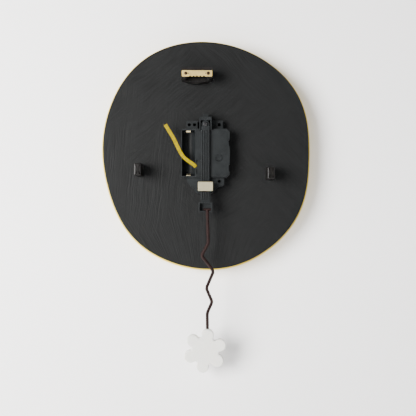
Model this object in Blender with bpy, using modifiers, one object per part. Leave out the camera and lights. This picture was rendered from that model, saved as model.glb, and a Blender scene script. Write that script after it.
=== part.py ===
"""Pendulum wall clock with a quartz pendulum movement, modelled in metres.

+Z is up, the wall is the plane Y = 0 and the dial faces -Y. The origin is the middle notch of the
sawtooth hanger, where the wall nail carries the clock. U and W are X and Z counted from the hands'
axis. Each piece of the clock is one object in the collection "Pendulum wall clock"; the shapes that
cut or join the pieces are wire objects in the collection "Cutters".
"""

from math import acos, asin, cos, pi, radians, sin, tan

import bmesh
import bpy
from mathutils import Matrix, Vector

# Clearances
GAP = 0.0003  # between two fixed pieces that meet
RUNNING = 0.00015  # round a turning arbor
OVER = 0.001  # how far a cutter runs past the face that it opens

# Hands' axis, from the hanger's middle notch
AXIS_X = -0.0096
AXIS_Z = -0.0876

# Board: mean radius, and the waves that round it into a pebble (count, cosine, sine part)
STANDOFF_HEIGHT = 0.027
BACKING_THICKNESS = 0.009
PLATE_THICKNESS = 0.004
PLATE_RIM = 0.0024  # how far the dial plate runs past the backing
BOARD_U, BOARD_W = -0.0011, -0.0007
BOARD_RADIUS = 0.1285
BOARD_WAVES = (
    (2, -0.0060, 0.0011),
    (3, -0.0003, 0.0007),
    (4, -0.0015, -0.0003),
    (5, 0.0006, 0.0001),
    (6, -0.0002, 0.0002),
    (7, 0.0004, 0.0001),
)
BOARD_SIDES = 84

# Hanger
TOOTH_PITCH = 0.0039
TOOTH_DEPTH = 0.0013
NOTCH_COUNT = 5
NOTCH_HALF = 0.0013
HANGER_WIDTH = 0.0346
HANGER_TOP = 0.0057
HANGER_THICKNESS = 0.0008
HANGER_CORNER = 0.0008
NAIL_SPREAD = 0.0128  # from the middle to each nail
NAIL_HEIGHT = 0.0024
NAIL_HEAD = 0.0019
NAIL_SHANK = 0.0007
NAIL_DOME = 0.6  # share of the head's radius at the dome's shoulder
NAIL_LENGTH = 0.0090
SPARE_HOLE_SPREAD = 0.0099
SPARE_HOLE = 0.0006
BLOCK_WIDTH = 0.0364
BLOCK_TOP = 0.0096
BLOCK_BOTTOM = -0.0026  # at its lower corners
BLOCK_BULGE = 0.0038  # how far the lower edge bows down between them
BLOCK_STEPS = 10
SCOOP_RADIUS = 0.0150
SCOOP_TOP = 0.0042
SCOOP_DEPTH = 0.0100

# Standoffs
STANDOFF_WIDTH, STANDOFF_TALL = 0.0083, 0.0138
STANDOFF_FLARE = 1.06  # the foot on the board against the wall end
STANDOFF_CHAMFER = 0.0011
STANDOFF_LEFT = (0.0770, -0.0191)
STANDOFF_RIGHT = (-0.0747, -0.0232)

# Movement body
GASKET_THICKNESS = 0.0008
GASKET_RADIUS = 0.0120
BODY_DEPTH = 0.0150
BODY_HALF = 0.0280  # half of the square body
BODY_CORNER = 0.0036  # chamfer of the corners on the cover side
BAY_CORNER = 0.0018  # chamfer of the corners on the bay side
COVER_WALL = 0.0022
SKIRT_WALL = 0.0014
CASE_WALL = 0.0014
CASE_SIDE = 0.0012
CASE_STEP = 0.0012  # ledge that the train plate rests on
GRIP_NOTCHES = ((0.0071, 0.0163), (-0.0217, -0.0125))
GRIP_DEPTH = 0.0012

# Battery bay for one AA cell
CELL_RADIUS = 0.00725
CELL_PLAY = 0.00025
BAY_OUTER_WALL = 0.0009
BAY_FLOOR = 0.0012
BAY_LENGTH = 0.0524
PARTITION = 0.0015
POCKET_DEPTH = 0.0015
POCKET_WIDTH = 0.0057
POCKET_W = (-0.0240, -0.0079)
SLOT_W = (-0.0184, -0.0110)
CONTACT_WIDTH = 0.0050
CONTACT_SHEET = 0.0005
CONTACT_FOLD = 0.0019
SPRING_BOW = 0.0022

# Pull ribbon
RIBBON_WIDTH = 0.0042
RIBBON_SHEET = 0.0003
RIBBON_ROUTE = (  # U, Y behind the cover's back and W, from the slot to the free end
    (0.0110, -0.0009, -0.0157),
    (0.0142, -0.0003, -0.0127),
    (0.0192, 0.0004, -0.0093),
    (0.0252, 0.0009, -0.0043),
    (0.0300, 0.0010, 0.0033),
    (0.0368, 0.0006, 0.0172),
    (0.0416, -0.0001, 0.0252),
    (0.0462, -0.0011, 0.0329),
)
RIBBON_STEPS = 3

# Mounting ears and the housing under the body
EAR_DEPTH = 0.0079
EAR_HOLE = 0.00185
EAR_HOLE_RISE = 0.0055  # above the body
LEFT_EAR = (0.0092, 0.0221, 0.0102)  # low and high U, and the height above the body
LEFT_EAR_HOLES_U = (0.0188, 0.0127)
RIGHT_EAR = (-0.0202, -0.0076, 0.0104)
RIGHT_EAR_HOLE_U = -0.0160
EAR_CORNER = 0.0009
FUNNEL_BACK = 0.0113  # depth of the lower housing, from the body's front
FUNNEL_OUTLINE = (  # U, and how far below the body
    (0.0218, -0.0010),
    (0.0218, 0.0020),
    (0.0206, 0.0054),
    (0.0101, 0.0182),
    (-0.0075, 0.0182),
    (-0.0140, 0.0112),
    (-0.0198, 0.0096),
    (-0.0216, 0.0078),
    (-0.0216, -0.0010),
)
FUNNEL_HOLE = (-0.0159, 0.0043)

# Pendulum pivot and boss, with heights above the body
PIVOT_U, PIVOT_RISE = 0.0, 0.0050
BOSS_HALF = 0.0071
BOSS_RISE = 0.0135
BOSS_PROUD = 0.0036  # behind the body's back
NUB_HALF = 0.0033
NUB_RISE = 0.0176
NUB_DEPTH = 0.0110
WINDOW_HALF = 0.0057
WINDOW_RISE = 0.0095
WINDOW_DEPTH = 0.0073
ARM_CLEARANCE = 0.0005
SCREW_SHAFT = 0.0012
SCREW_HEAD = 0.0026
SCREW_HEAD_THICKNESS = 0.0012
SCREW_EDGE = 0.7  # share of the head's radius that is flat on top
SCREW_SHOULDER = 0.6  # share of the head's thickness that is upright
SCREW_SLOT = 0.0006
SLOT_REACH = 0.65  # share of the head's radius
SCREW_GRIP = 0.0060  # length in the post
BUSH_WALL = 0.00085

# Pendulum arm and magnet, with distances below the body
ARM_HALF = 0.0047
ARM_THICKNESS = 0.0023
ARM_LOWER_HALF = 0.0057
ARM_STEP_DROP = 0.0047
EYE_RADIUS = 0.0044
MAGNET_RADIUS = 0.0045
MAGNET_THICKNESS = 0.0030
MAGNET_DROP = 0.0104
CAP_WIDTH, CAP_TALL, CAP_DEPTH = 0.0170, 0.0104, 0.0053
COIL_RADIUS, COIL_BORE, COIL_DEPTH = 0.0070, 0.0025, 0.0053
HOOK_NECK_HALF = 0.0052
HOOK_HALF = 0.0078
HOOK_TOP_DROP, HOOK_BOTTOM_DROP = 0.0283, 0.0397
HOOK_DEPTH = 0.0066
HOOK_WALL = 0.0013
HOOK_NOTCH_HALF = 0.0021

# Rod and bob
ROD_RADIUS = 0.00155
ROD_U = -0.0020
CROSS_PIN_RADIUS = 0.0013
CROSS_PIN_LENGTH = 0.0084
ROD_ROUTE = (  # U, and Z from the cross pin, down to where the rod enters the bob
    (-0.0033, -0.0385),
    (0.0046, -0.0526),
    (-0.0092, -0.0707),
    (-0.0009, -0.0900),
    (-0.0077, -0.1056),
    (-0.0020, -0.1181),
    (-0.0023, -0.1364),
)
ROD_BEND = 0.0030  # how far from each point its bend begins
ROD_STEPS = 4
ROD_IN_BOB = 0.0090
PETAL_COUNT = 6
PETAL_CIRCLE = 0.0178
PETAL_RADIUS = 0.0071
PETAL_ANGLE = radians(39)
PETAL_SIDES = 10
PETAL_SWEEP = radians(104)
VALLEY_RADIUS = 0.0160
BOB_THICKNESS = 0.0090
BOB_U = 0.0004
BOB_EDGE = 0.0009

# Wheel train: tooth counts, centre distances and where each arbor lies from the last
WHEEL_THICKNESS = 0.0008
ARBOR_RADIUS = 0.0006
PIVOT_DEPTH = 0.0007
PRESSURE_ANGLE = radians(25)
ADDENDUM, DEDENDUM = 0.5, 0.8  # in modules
TOOTH_PLAY = 0.15  # of a tooth's width, in modules
SMALL_PINION = 6
CENTRE_TEETH, THIRD_TEETH, SECONDS_TEETH, INTERMEDIATE_TEETH = 45, 48, 36, 30
TRAIN_RADIUS = 0.0094
THIRD_DIRECTION = radians(127)
INTERMEDIATE_DIRECTION = radians(260)
ROTOR_RADIUS = 0.0072
ROTOR_DIRECTION = radians(230)
CANNON_TEETH, MINUTE_TEETH, MINUTE_PINION, HOUR_TEETH, SETTING_TEETH = 10, 30, 8, 32, 10
MOTION_RADIUS = 0.0096
MINUTE_DIRECTION = radians(230)
SETTING_DIRECTION = radians(169.5)
KNOB_RADIUS = 0.0036
KNOB_PROUD = 0.0010
KNOB_HEIGHT = 0.0020
KNOB_RIM = 0.0004
KNOB_RIDGES = 12
SHAFT_RADIUS = 0.0010

# Motor and electronics
ROTOR_MAGNET_RADIUS = 0.0025
ROTOR_MAGNET_LENGTH = 0.0030
STATOR_THICKNESS = 0.0010
STATOR_SPAN = (-0.0246, 0.0066)
STATOR_W = (-0.0190, -0.0114)
STATOR_LEG = 0.0024
STATOR_FOOT = -0.0242
MOTOR_COIL_RADIUS, MOTOR_COIL_BORE = 0.0028, 0.0016
MOTOR_COIL_W = -0.0219
MOTOR_COIL_OFFSET = 0.0025  # of the coil's axis behind the stator's front
CORE_HALF = 0.0007
CORE_THICKNESS = 0.0010
BOARD_SPAN = (-0.0244, -0.0120)
BOARD_REACH = (0.0020, 0.0235)
BOARD_SHEET = 0.0010
CHIP_SIZE, CHIP_HEIGHT = 0.0050, 0.0012
CRYSTAL_RADIUS, CRYSTAL_LENGTH = 0.0010, 0.0060

# Hands and what clamps the dial
MINUTE_ARBOR_RADIUS = 0.0011
CANNON_RADIUS = 0.0017
HOUR_PIPE_BORE, HOUR_PIPE_RADIUS = 0.0019, 0.0025
BUSH_BORE, BUSH_RADIUS = 0.00275, 0.0040
BUSH_STICKOUT = 0.0046  # past the dial plate
WASHER_RADIUS, WASHER_THICKNESS = 0.0066, 0.0006
NUT_RADIUS, NUT_THICKNESS = 0.0062, 0.0022
PIPE_STICKOUT = 0.0022  # past the bush
CANNON_STICKOUT = 0.0015  # past the hour pipe
ARBOR_STICKOUT = 0.0030  # past the cannon
HAND_THICKNESS = 0.0008
HOUR_HAND = (0.0560, 0.0140, 0.0056, 0.0036, 0.0026)  # length, tail, hub, half widths
MINUTE_HAND = (0.0880, 0.0180, 0.0048, 0.0028, 0.0019)
HOUR_ANGLE, MINUTE_ANGLE = radians(305), radians(60)
TAIL_TAPER = 0.8  # of the tail's end against its root
HAND_NUT_RADIUS, HAND_NUT_HEIGHT = 0.0030, 0.0034
HAND_NUT_DOME = ((0.55, 0.06), (0.88, 0.24), (1.0, 0.5))  # shares of radius and height

# Depths along Y, worked out from the wall towards the dial and back into the movement
BOARD_BACK = -STANDOFF_HEIGHT
BACKING_FRONT = BOARD_BACK - BACKING_THICKNESS
PLATE_BACK = BACKING_FRONT - GAP
PLATE_FRONT = PLATE_BACK - PLATE_THICKNESS
GASKET_FRONT = BOARD_BACK + GAP
BODY_FRONT = GASKET_FRONT + GASKET_THICKNESS + GAP
BODY_BACK = BODY_FRONT + BODY_DEPTH
COVER_INSIDE = BODY_BACK - COVER_WALL
CASE_FLOOR = BODY_FRONT + CASE_WALL
CASE_BACK = COVER_INSIDE - GAP
HANGER_BACK = -0.0011
HANGER_FRONT = HANGER_BACK - HANGER_THICKNESS
BLOCK_BACK = HANGER_FRONT - GAP
BOSS_BACK = BODY_BACK + BOSS_PROUD
WINDOW_FLOOR = BOSS_BACK - WINDOW_DEPTH
ARM_FRONT = BODY_BACK + ARM_CLEARANCE
ARM_BACK = ARM_FRONT + ARM_THICKNESS
LOWER_BACK = BODY_FRONT + FUNNEL_BACK
POCKET_FLOOR = BODY_BACK - POCKET_DEPTH
HOOK_BACK = ARM_FRONT + HOOK_DEPTH
HOOK_FLOOR = ARM_FRONT + HOOK_WALL
ROD_Y = (HOOK_FLOOR + HOOK_BACK) / 2 - ROD_RADIUS / 8
BUSH_FRONT = PLATE_FRONT - BUSH_STICKOUT
WASHER_BACK = PLATE_FRONT - GAP
NUT_BACK = WASHER_BACK - WASHER_THICKNESS - GAP
PIPE_FRONT = BUSH_FRONT - PIPE_STICKOUT
CANNON_FRONT = PIPE_FRONT - CANNON_STICKOUT
MINUTE_ARBOR_FRONT = CANNON_FRONT - ARBOR_STICKOUT
BEARING_BACK = COVER_INSIDE + PIVOT_DEPTH

# Spans along U and W, from the walls above
BAY_LOW_U = BODY_HALF - BAY_OUTER_WALL - 2 * (CELL_RADIUS + CELL_PLAY)
BAY_HIGH_U = BODY_HALF - BAY_OUTER_WALL
BAY_U = (BAY_LOW_U + BAY_HIGH_U) / 2
BAY_AXIS_Y = BODY_FRONT + BAY_FLOOR + CELL_RADIUS + CELL_PLAY
HOLLOW_LOW_U, HOLLOW_HIGH_U = -BODY_HALF + SKIRT_WALL, BAY_LOW_U - PARTITION
HOLLOW_W = BODY_HALF - SKIRT_WALL
CASE_LOW_U, CASE_HIGH_U = HOLLOW_LOW_U + GAP, HOLLOW_HIGH_U - GAP
CASE_W = HOLLOW_W - GAP
PIVOT_W = BODY_HALF + PIVOT_RISE
BOSS_TOP, NUB_TOP, WINDOW_TOP = (
    BODY_HALF + rise for rise in (BOSS_RISE, NUB_RISE, WINDOW_RISE)
)
ARM_STEP_W = -BODY_HALF - ARM_STEP_DROP
MAGNET_W = -BODY_HALF - MAGNET_DROP
HOOK_TOP, HOOK_BOTTOM = -BODY_HALF - HOOK_TOP_DROP, -BODY_HALF - HOOK_BOTTOM_DROP
CROSS_PIN_W = HOOK_BOTTOM + HOOK_WALL + GAP + CROSS_PIN_RADIUS
ROD_BOTTOM_Z = AXIS_Z + CROSS_PIN_W + ROD_ROUTE[-1][1]
BOB_Z = ROD_BOTTOM_Z - PETAL_CIRCLE * sin(PETAL_ANGLE + pi / 3) - PETAL_RADIUS

CLOCK_NAME = "Pendulum wall clock"
FINISHES = {  # base colour, roughness, metallic
    "board_black": ((0.040, 0.042, 0.044), 0.55, 0.0),
    "dial_yellow": ((0.90, 0.66, 0.06), 0.45, 0.0),
    "gloss_black": ((0.014, 0.011, 0.010), 0.22, 0.0),
    "brass": ((0.72, 0.58, 0.30), 0.35, 1.0),
    "nail_brown": ((0.10, 0.07, 0.05), 0.50, 0.8),
    "movement_black": ((0.030, 0.033, 0.035), 0.42, 0.0),
    "gasket_rubber": ((0.02, 0.02, 0.02), 0.80, 0.0),
    "gear_white": ((0.80, 0.79, 0.74), 0.40, 0.0),
    "steel": ((0.60, 0.60, 0.61), 0.30, 1.0),
    "copper": ((0.72, 0.35, 0.20), 0.40, 1.0),
    "ferrite": ((0.09, 0.09, 0.10), 0.50, 0.4),
    "circuit_green": ((0.05, 0.22, 0.10), 0.45, 0.0),
    "chip_black": ((0.02, 0.02, 0.02), 0.50, 0.0),
    "ribbon_yellow": ((0.86, 0.68, 0.05), 0.50, 0.0),
    "cap_cream": ((0.55, 0.51, 0.41), 0.50, 0.0),
    "rod_brown": ((0.070, 0.025, 0.020), 0.50, 0.0),
    "bob_white": ((0.72, 0.72, 0.70), 0.60, 0.0),
    "hand_white": ((0.80, 0.79, 0.76), 0.40, 0.0),
}


# Scene helpers


def clear_scene():
    for obj in list(bpy.data.objects):
        bpy.data.objects.remove(obj, do_unlink=True)


def collection(name):
    made = bpy.data.collections.new(name)
    bpy.context.scene.collection.children.link(made)
    return made


def material(name):
    color, roughness, metallic = FINISHES[name]
    made = bpy.data.materials.get(name) or bpy.data.materials.new(name)
    made.use_nodes = True
    shader = made.node_tree.nodes["Principled BSDF"]
    shader.inputs["Base Color"].default_value = (*color, 1.0)
    shader.inputs["Roughness"].default_value = roughness
    shader.inputs["Metallic"].default_value = metallic
    made.diffuse_color = (*color, 1.0)
    return made


def piece(obj, finish):
    """Files a finished object with the clock's pieces and gives it its material."""
    for old in list(obj.users_collection):
        old.objects.unlink(obj)
    bpy.data.collections[CLOCK_NAME].objects.link(obj)
    obj.data.materials.clear()
    obj.data.materials.append(material(finish))
    obj.hide_render = False
    obj.display_type = "TEXTURED"
    if len(obj.data.polygons):
        obj.data.shade_smooth()
        obj.data.set_sharp_from_angle(angle=radians(30))
    return obj


def place(name, data, centre=(0.0, 0.0), y=0.0, turn=None):
    """A new object among the cutters; piece() moves it to the clock when it is one of its pieces."""
    obj = bpy.data.objects.new(name, data)
    obj.location = (AXIS_X + centre[0], y, AXIS_Z + centre[1])
    if turn:
        obj.rotation_euler = turn
    obj.hide_render = True
    obj.display_type = "WIRE"
    bpy.data.collections["Cutters"].objects.link(obj)
    return obj


def as_mesh(obj):
    """Turns a curve object into a welded mesh object of the same name and place."""
    bpy.context.view_layer.update()
    evaluated = obj.evaluated_get(bpy.context.evaluated_depsgraph_get())
    mesh = bpy.data.meshes.new_from_object(evaluated)
    cage = bmesh.new()
    cage.from_mesh(mesh)
    bmesh.ops.remove_doubles(cage, verts=cage.verts, dist=1e-6)
    bmesh.ops.recalc_face_normals(cage, faces=cage.faces)
    cage.to_mesh(mesh)
    cage.free()
    name, matrix, old = obj.name, obj.matrix_world.copy(), obj.data
    bpy.data.objects.remove(obj)
    bpy.data.curves.remove(old)
    made = place(name, mesh)
    made.matrix_world = matrix
    return made


def change(obj, other, operation):
    step = obj.modifiers.new(other.name, "BOOLEAN")
    step.operation = operation
    step.solver = "EXACT"
    step.object = other
    return obj


def cut(obj, *others):
    for other in others:
        change(obj, other, "DIFFERENCE")
    return obj


def join(obj, *others):
    for other in others:
        change(obj, other, "UNION")
    return obj


# Outlines, as lists of (x, z) points that run anticlockwise with x to the right and z up


def circle(radius, sides=24, start=0.0):
    return [
        (radius * cos(start + 2 * pi * i / sides), radius * sin(start + 2 * pi * i / sides))
        for i in range(sides)
    ]


def rectangle(low_x, high_x, low_z, high_z):
    return [(low_x, low_z), (high_x, low_z), (high_x, high_z), (low_x, high_z)]


def rounded_rectangle(low_x, high_x, low_z, high_z, radius, steps=3):
    ring = []
    corners = (
        (high_x - radius, low_z + radius, -90),
        (high_x - radius, high_z - radius, 0),
        (low_x + radius, high_z - radius, 90),
        (low_x + radius, low_z + radius, 180),
    )
    for x, z, start in corners:
        for i in range(steps + 1):
            angle = radians(start + 90 * i / steps)
            ring.append((x + radius * cos(angle), z + radius * sin(angle)))
    return ring


def moved(outline, x, z):
    return [(px + x, pz + z) for px, pz in outline]


def clockwise(outline, angle):
    """The outline turned clockwise, as the front of the clock shows it."""
    return [(x * cos(angle) + z * sin(angle), z * cos(angle) - x * sin(angle)) for x, z in outline]


def smooth(points, steps):
    """A Catmull-Rom curve through the points, as a list of Vectors."""
    points = [Vector(p) for p in points]
    padded = [2 * points[0] - points[1], *points, 2 * points[-1] - points[-2]]
    route = []
    for a, b, c, d in zip(padded, padded[1:], padded[2:], padded[3:]):
        for i in range(steps):
            t = i / steps
            route.append(
                0.5 * (2 * b + (c - a) * t + (2 * a - 5 * b + 4 * c - d) * t**2
                       + (3 * b - a - 3 * c + d) * t**3)
            )
    return [*route, points[-1]]


def kinked(points, reach, steps):
    """Straight runs between the points with a round bend at each, as a list of Vectors."""
    points = [Vector(p) for p in points]
    route = [points[0]]
    for a, b, c in zip(points, points[1:], points[2:]):
        start = b + (a - b).normalized() * reach
        end = b + (c - b).normalized() * reach
        for i in range(steps + 1):
            t = i / steps
            route.append(start * (1 - t) ** 2 + b * 2 * t * (1 - t) + end * t**2)
    return [*route, points[-1]]


# Solids


def plate(name, outline, front, back, centre=(0.0, 0.0), holes=()):
    """A flat outline between two depths, standing upright, with its origin on the centre."""
    curve = bpy.data.curves.new(name, "CURVE")
    curve.dimensions = "2D"
    curve.fill_mode = "BOTH"
    curve.extrude = (back - front) / 2
    for ring in (outline, *holes):
        spline = curve.splines.new("POLY")
        spline.points.add(len(ring) - 1)
        for point, (x, z) in zip(spline.points, ring):
            point.co = (x, z, 0.0, 1.0)
        spline.use_cyclic_u = True
    return as_mesh(place(name, curve, centre, (front + back) / 2, (pi / 2, 0, 0)))


def disc(name, radius, front, back, centre=(0.0, 0.0), sides=24):
    """A solid cylinder along Y."""
    cage = bmesh.new()
    bmesh.ops.create_cone(
        cage, cap_ends=True, segments=sides, radius1=radius, radius2=radius, depth=back - front
    )
    mesh = bpy.data.meshes.new(name)
    cage.to_mesh(mesh)
    cage.free()
    return place(name, mesh, centre, (front + back) / 2, (pi / 2, 0, 0))


def ring(name, outer, inner, front, back, centre=(0.0, 0.0), sides=24):
    return plate(name, circle(outer, sides), front, back, centre, [circle(inner, sides)])


def block(name, u, y, w):
    """A box between two values of U, Y and W, given as pairs."""
    cage = bmesh.new()
    bmesh.ops.create_cube(cage, size=1.0)
    size = (u[1] - u[0], y[1] - y[0], w[1] - w[0])
    bmesh.ops.scale(cage, vec=size, verts=cage.verts)
    mesh = bpy.data.meshes.new(name)
    cage.to_mesh(mesh)
    cage.free()
    return place(name, mesh, ((u[0] + u[1]) / 2, (w[0] + w[1]) / 2), (y[0] + y[1]) / 2)


def turned(name, profile, centre=(0.0, 0.0), y=0.0, sides=24):
    """A profile of (radius, y) points, from its dial end to its wall end, spun about an axis along Y."""
    mesh = bpy.data.meshes.new(name)
    points = [(radius, 0.0, -depth) for radius, depth in profile]
    mesh.from_pydata(points, [(i, i + 1) for i in range(len(points) - 1)], [])
    obj = place(name, mesh, centre, y, (pi / 2, 0, 0))
    spin = obj.modifiers.new("Spin", "SCREW")
    spin.steps = spin.render_steps = sides
    spin.use_merge_vertices = True
    spin.merge_threshold = 1e-5
    return obj


def tube(name, route, radius, resolution=2):
    """A round wire along a route of world points."""
    curve = bpy.data.curves.new(name, "CURVE")
    curve.dimensions = "3D"
    curve.bevel_depth = radius
    curve.bevel_resolution = resolution
    curve.use_fill_caps = True
    spline = curve.splines.new("POLY")
    spline.points.add(len(route) - 1)
    for point, place_on in zip(spline.points, route):
        point.co = (*place_on, 1.0)
    obj = place(name, curve)
    obj.location = (0, 0, 0)
    return obj


# Gearing


def involute(angle):
    return tan(angle) - angle


def gear_outline(teeth, module, phase):
    """Straight-sided teeth drawn inside an involute tooth, the first one centred on the phase angle."""
    pitch = module * teeth / 2
    base = pitch * cos(PRESSURE_ANGLE)
    root, tip = pitch - DEDENDUM * module, pitch + ADDENDUM * module
    widest = (pi / 2 - TOOTH_PLAY) / teeth + involute(PRESSURE_ANGLE)
    outline = []
    for i in range(teeth):
        middle = phase + 2 * pi * i / teeth
        for radius, side in ((root, -1), (tip, -1), (tip, 1), (root, 1)):
            half = widest - involute(acos(min(1.0, base / radius)))
            outline.append((radius * cos(middle + side * half), radius * sin(middle + side * half)))
    return outline


def mesh_phase(phase, teeth, other_teeth, direction):
    """Where the other wheel's first tooth points, so that it meshes across the given direction."""
    turned_by = (phase - direction) * teeth / other_teeth
    return direction + pi + pi / other_teeth - turned_by


def from_spot(spot, distance, direction):
    return (spot[0] + distance * cos(direction), spot[1] + distance * sin(direction))


def layer(level):
    """The dial side of a wheel level, counted from the front case's floor."""
    return CASE_FLOOR + GAP + level * (WHEEL_THICKNESS + GAP)


HOUR_LEVEL, MINUTE_LEVEL, TRAIN_PLATE_LEVEL = 0, 1, 2
CENTRE_LEVEL, THIRD_LEVEL, SECONDS_LEVEL, INTERMEDIATE_LEVEL = 3, 4, 5, 6

CENTRE = (0.0, 0.0)
THIRD_SPOT = from_spot(CENTRE, TRAIN_RADIUS, THIRD_DIRECTION)
INTERMEDIATE_SPOT = from_spot(CENTRE, TRAIN_RADIUS, INTERMEDIATE_DIRECTION)
ROTOR_SPOT = from_spot(INTERMEDIATE_SPOT, ROTOR_RADIUS, ROTOR_DIRECTION)
MINUTE_SPOT = from_spot(CENTRE, MOTION_RADIUS, MINUTE_DIRECTION)
SETTING_SPOT = from_spot(MINUTE_SPOT, MOTION_RADIUS, SETTING_DIRECTION)

CENTRE_MODULE = 2 * TRAIN_RADIUS / (CENTRE_TEETH + SMALL_PINION)
THIRD_MODULE = 2 * TRAIN_RADIUS / (THIRD_TEETH + SMALL_PINION)
SECONDS_MODULE = 2 * TRAIN_RADIUS / (SECONDS_TEETH + SMALL_PINION)
ROTOR_MODULE = 2 * ROTOR_RADIUS / (INTERMEDIATE_TEETH + SMALL_PINION)
MOTION_MODULE = 2 * MOTION_RADIUS / (CANNON_TEETH + MINUTE_TEETH)
HOUR_MODULE = 2 * MOTION_RADIUS / (MINUTE_PINION + HOUR_TEETH)


def pinion_on(name, teeth, module, phase, level, centre, reach):
    """A pinion that meshes at one level and reaches a little into its own wheel behind."""
    front = layer(level) - GAP / 3
    return plate(name, gear_outline(teeth, module, phase), front, front + reach, centre)


def wheel_on(name, teeth, module, phase, level, centre, bore=None):
    front = layer(level)
    holes = [circle(bore, 16)] if bore else ()
    outline = gear_outline(teeth, module, phase)
    return plate(name, outline, front, front + WHEEL_THICKNESS, centre, holes)


def arbor(name, front, back, centre, radius=ARBOR_RADIUS, sides=10):
    return disc(name, radius, front, back, centre, sides)


PINION_REACH = WHEEL_THICKNESS + GAP + 2 * GAP / 3


def add_going_train():
    """Centre wheel, third wheel, seconds wheel, intermediate wheel and rotor, all in mesh."""
    third_pinion = mesh_phase(0.0, CENTRE_TEETH, SMALL_PINION, THIRD_DIRECTION)
    seconds_pinion = mesh_phase(0.0, THIRD_TEETH, SMALL_PINION, THIRD_DIRECTION + pi)
    intermediate_pinion = mesh_phase(0.0, SECONDS_TEETH, SMALL_PINION, INTERMEDIATE_DIRECTION)
    rotor_pinion = mesh_phase(0.0, INTERMEDIATE_TEETH, SMALL_PINION, ROTOR_DIRECTION)
    bearing = layer(TRAIN_PLATE_LEVEL) + GAP

    centre = wheel_on(
        "centre_wheel", CENTRE_TEETH, CENTRE_MODULE, 0.0, CENTRE_LEVEL, CENTRE,
        MINUTE_ARBOR_RADIUS + GAP,
    )
    piece(centre, "gear_white")

    third = wheel_on("third_wheel", THIRD_TEETH, THIRD_MODULE, 0.0, THIRD_LEVEL, THIRD_SPOT)
    join(
        third,
        pinion_on("third_pinion", SMALL_PINION, CENTRE_MODULE, third_pinion, CENTRE_LEVEL,
                  THIRD_SPOT, PINION_REACH),
        arbor("third_arbor", bearing, BEARING_BACK - GAP, THIRD_SPOT),
    )
    piece(third, "gear_white")

    seconds = wheel_on(
        "seconds_wheel", SECONDS_TEETH, SECONDS_MODULE, 0.0, SECONDS_LEVEL, CENTRE
    )
    join(
        seconds,
        pinion_on("seconds_pinion", SMALL_PINION, THIRD_MODULE, seconds_pinion, THIRD_LEVEL,
                  CENTRE, PINION_REACH),
        arbor("seconds_arbor", layer(CENTRE_LEVEL), BEARING_BACK - GAP, CENTRE,
              ARBOR_RADIUS - RUNNING),
    )
    piece(seconds, "gear_white")

    intermediate = wheel_on(
        "intermediate_wheel", INTERMEDIATE_TEETH, ROTOR_MODULE, 0.0, INTERMEDIATE_LEVEL,
        INTERMEDIATE_SPOT,
    )
    join(
        intermediate,
        pinion_on("intermediate_pinion", SMALL_PINION, SECONDS_MODULE, intermediate_pinion,
                  SECONDS_LEVEL, INTERMEDIATE_SPOT, PINION_REACH),
        arbor("intermediate_arbor", bearing, BEARING_BACK - GAP, INTERMEDIATE_SPOT),
    )
    piece(intermediate, "gear_white")

    rotor = pinion_on("rotor", SMALL_PINION, ROTOR_MODULE, rotor_pinion, INTERMEDIATE_LEVEL,
                      ROTOR_SPOT, WHEEL_THICKNESS + 2 * GAP / 3)
    join(rotor, arbor("rotor_arbor", bearing, BEARING_BACK - GAP, ROTOR_SPOT))
    piece(rotor, "gear_white")
    magnet_front = layer(CENTRE_LEVEL)
    magnet = ring("rotor_magnet", ROTOR_MAGNET_RADIUS, ARBOR_RADIUS + GAP, magnet_front,
                  magnet_front + ROTOR_MAGNET_LENGTH, ROTOR_SPOT, 16)
    piece(magnet, "ferrite")


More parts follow.
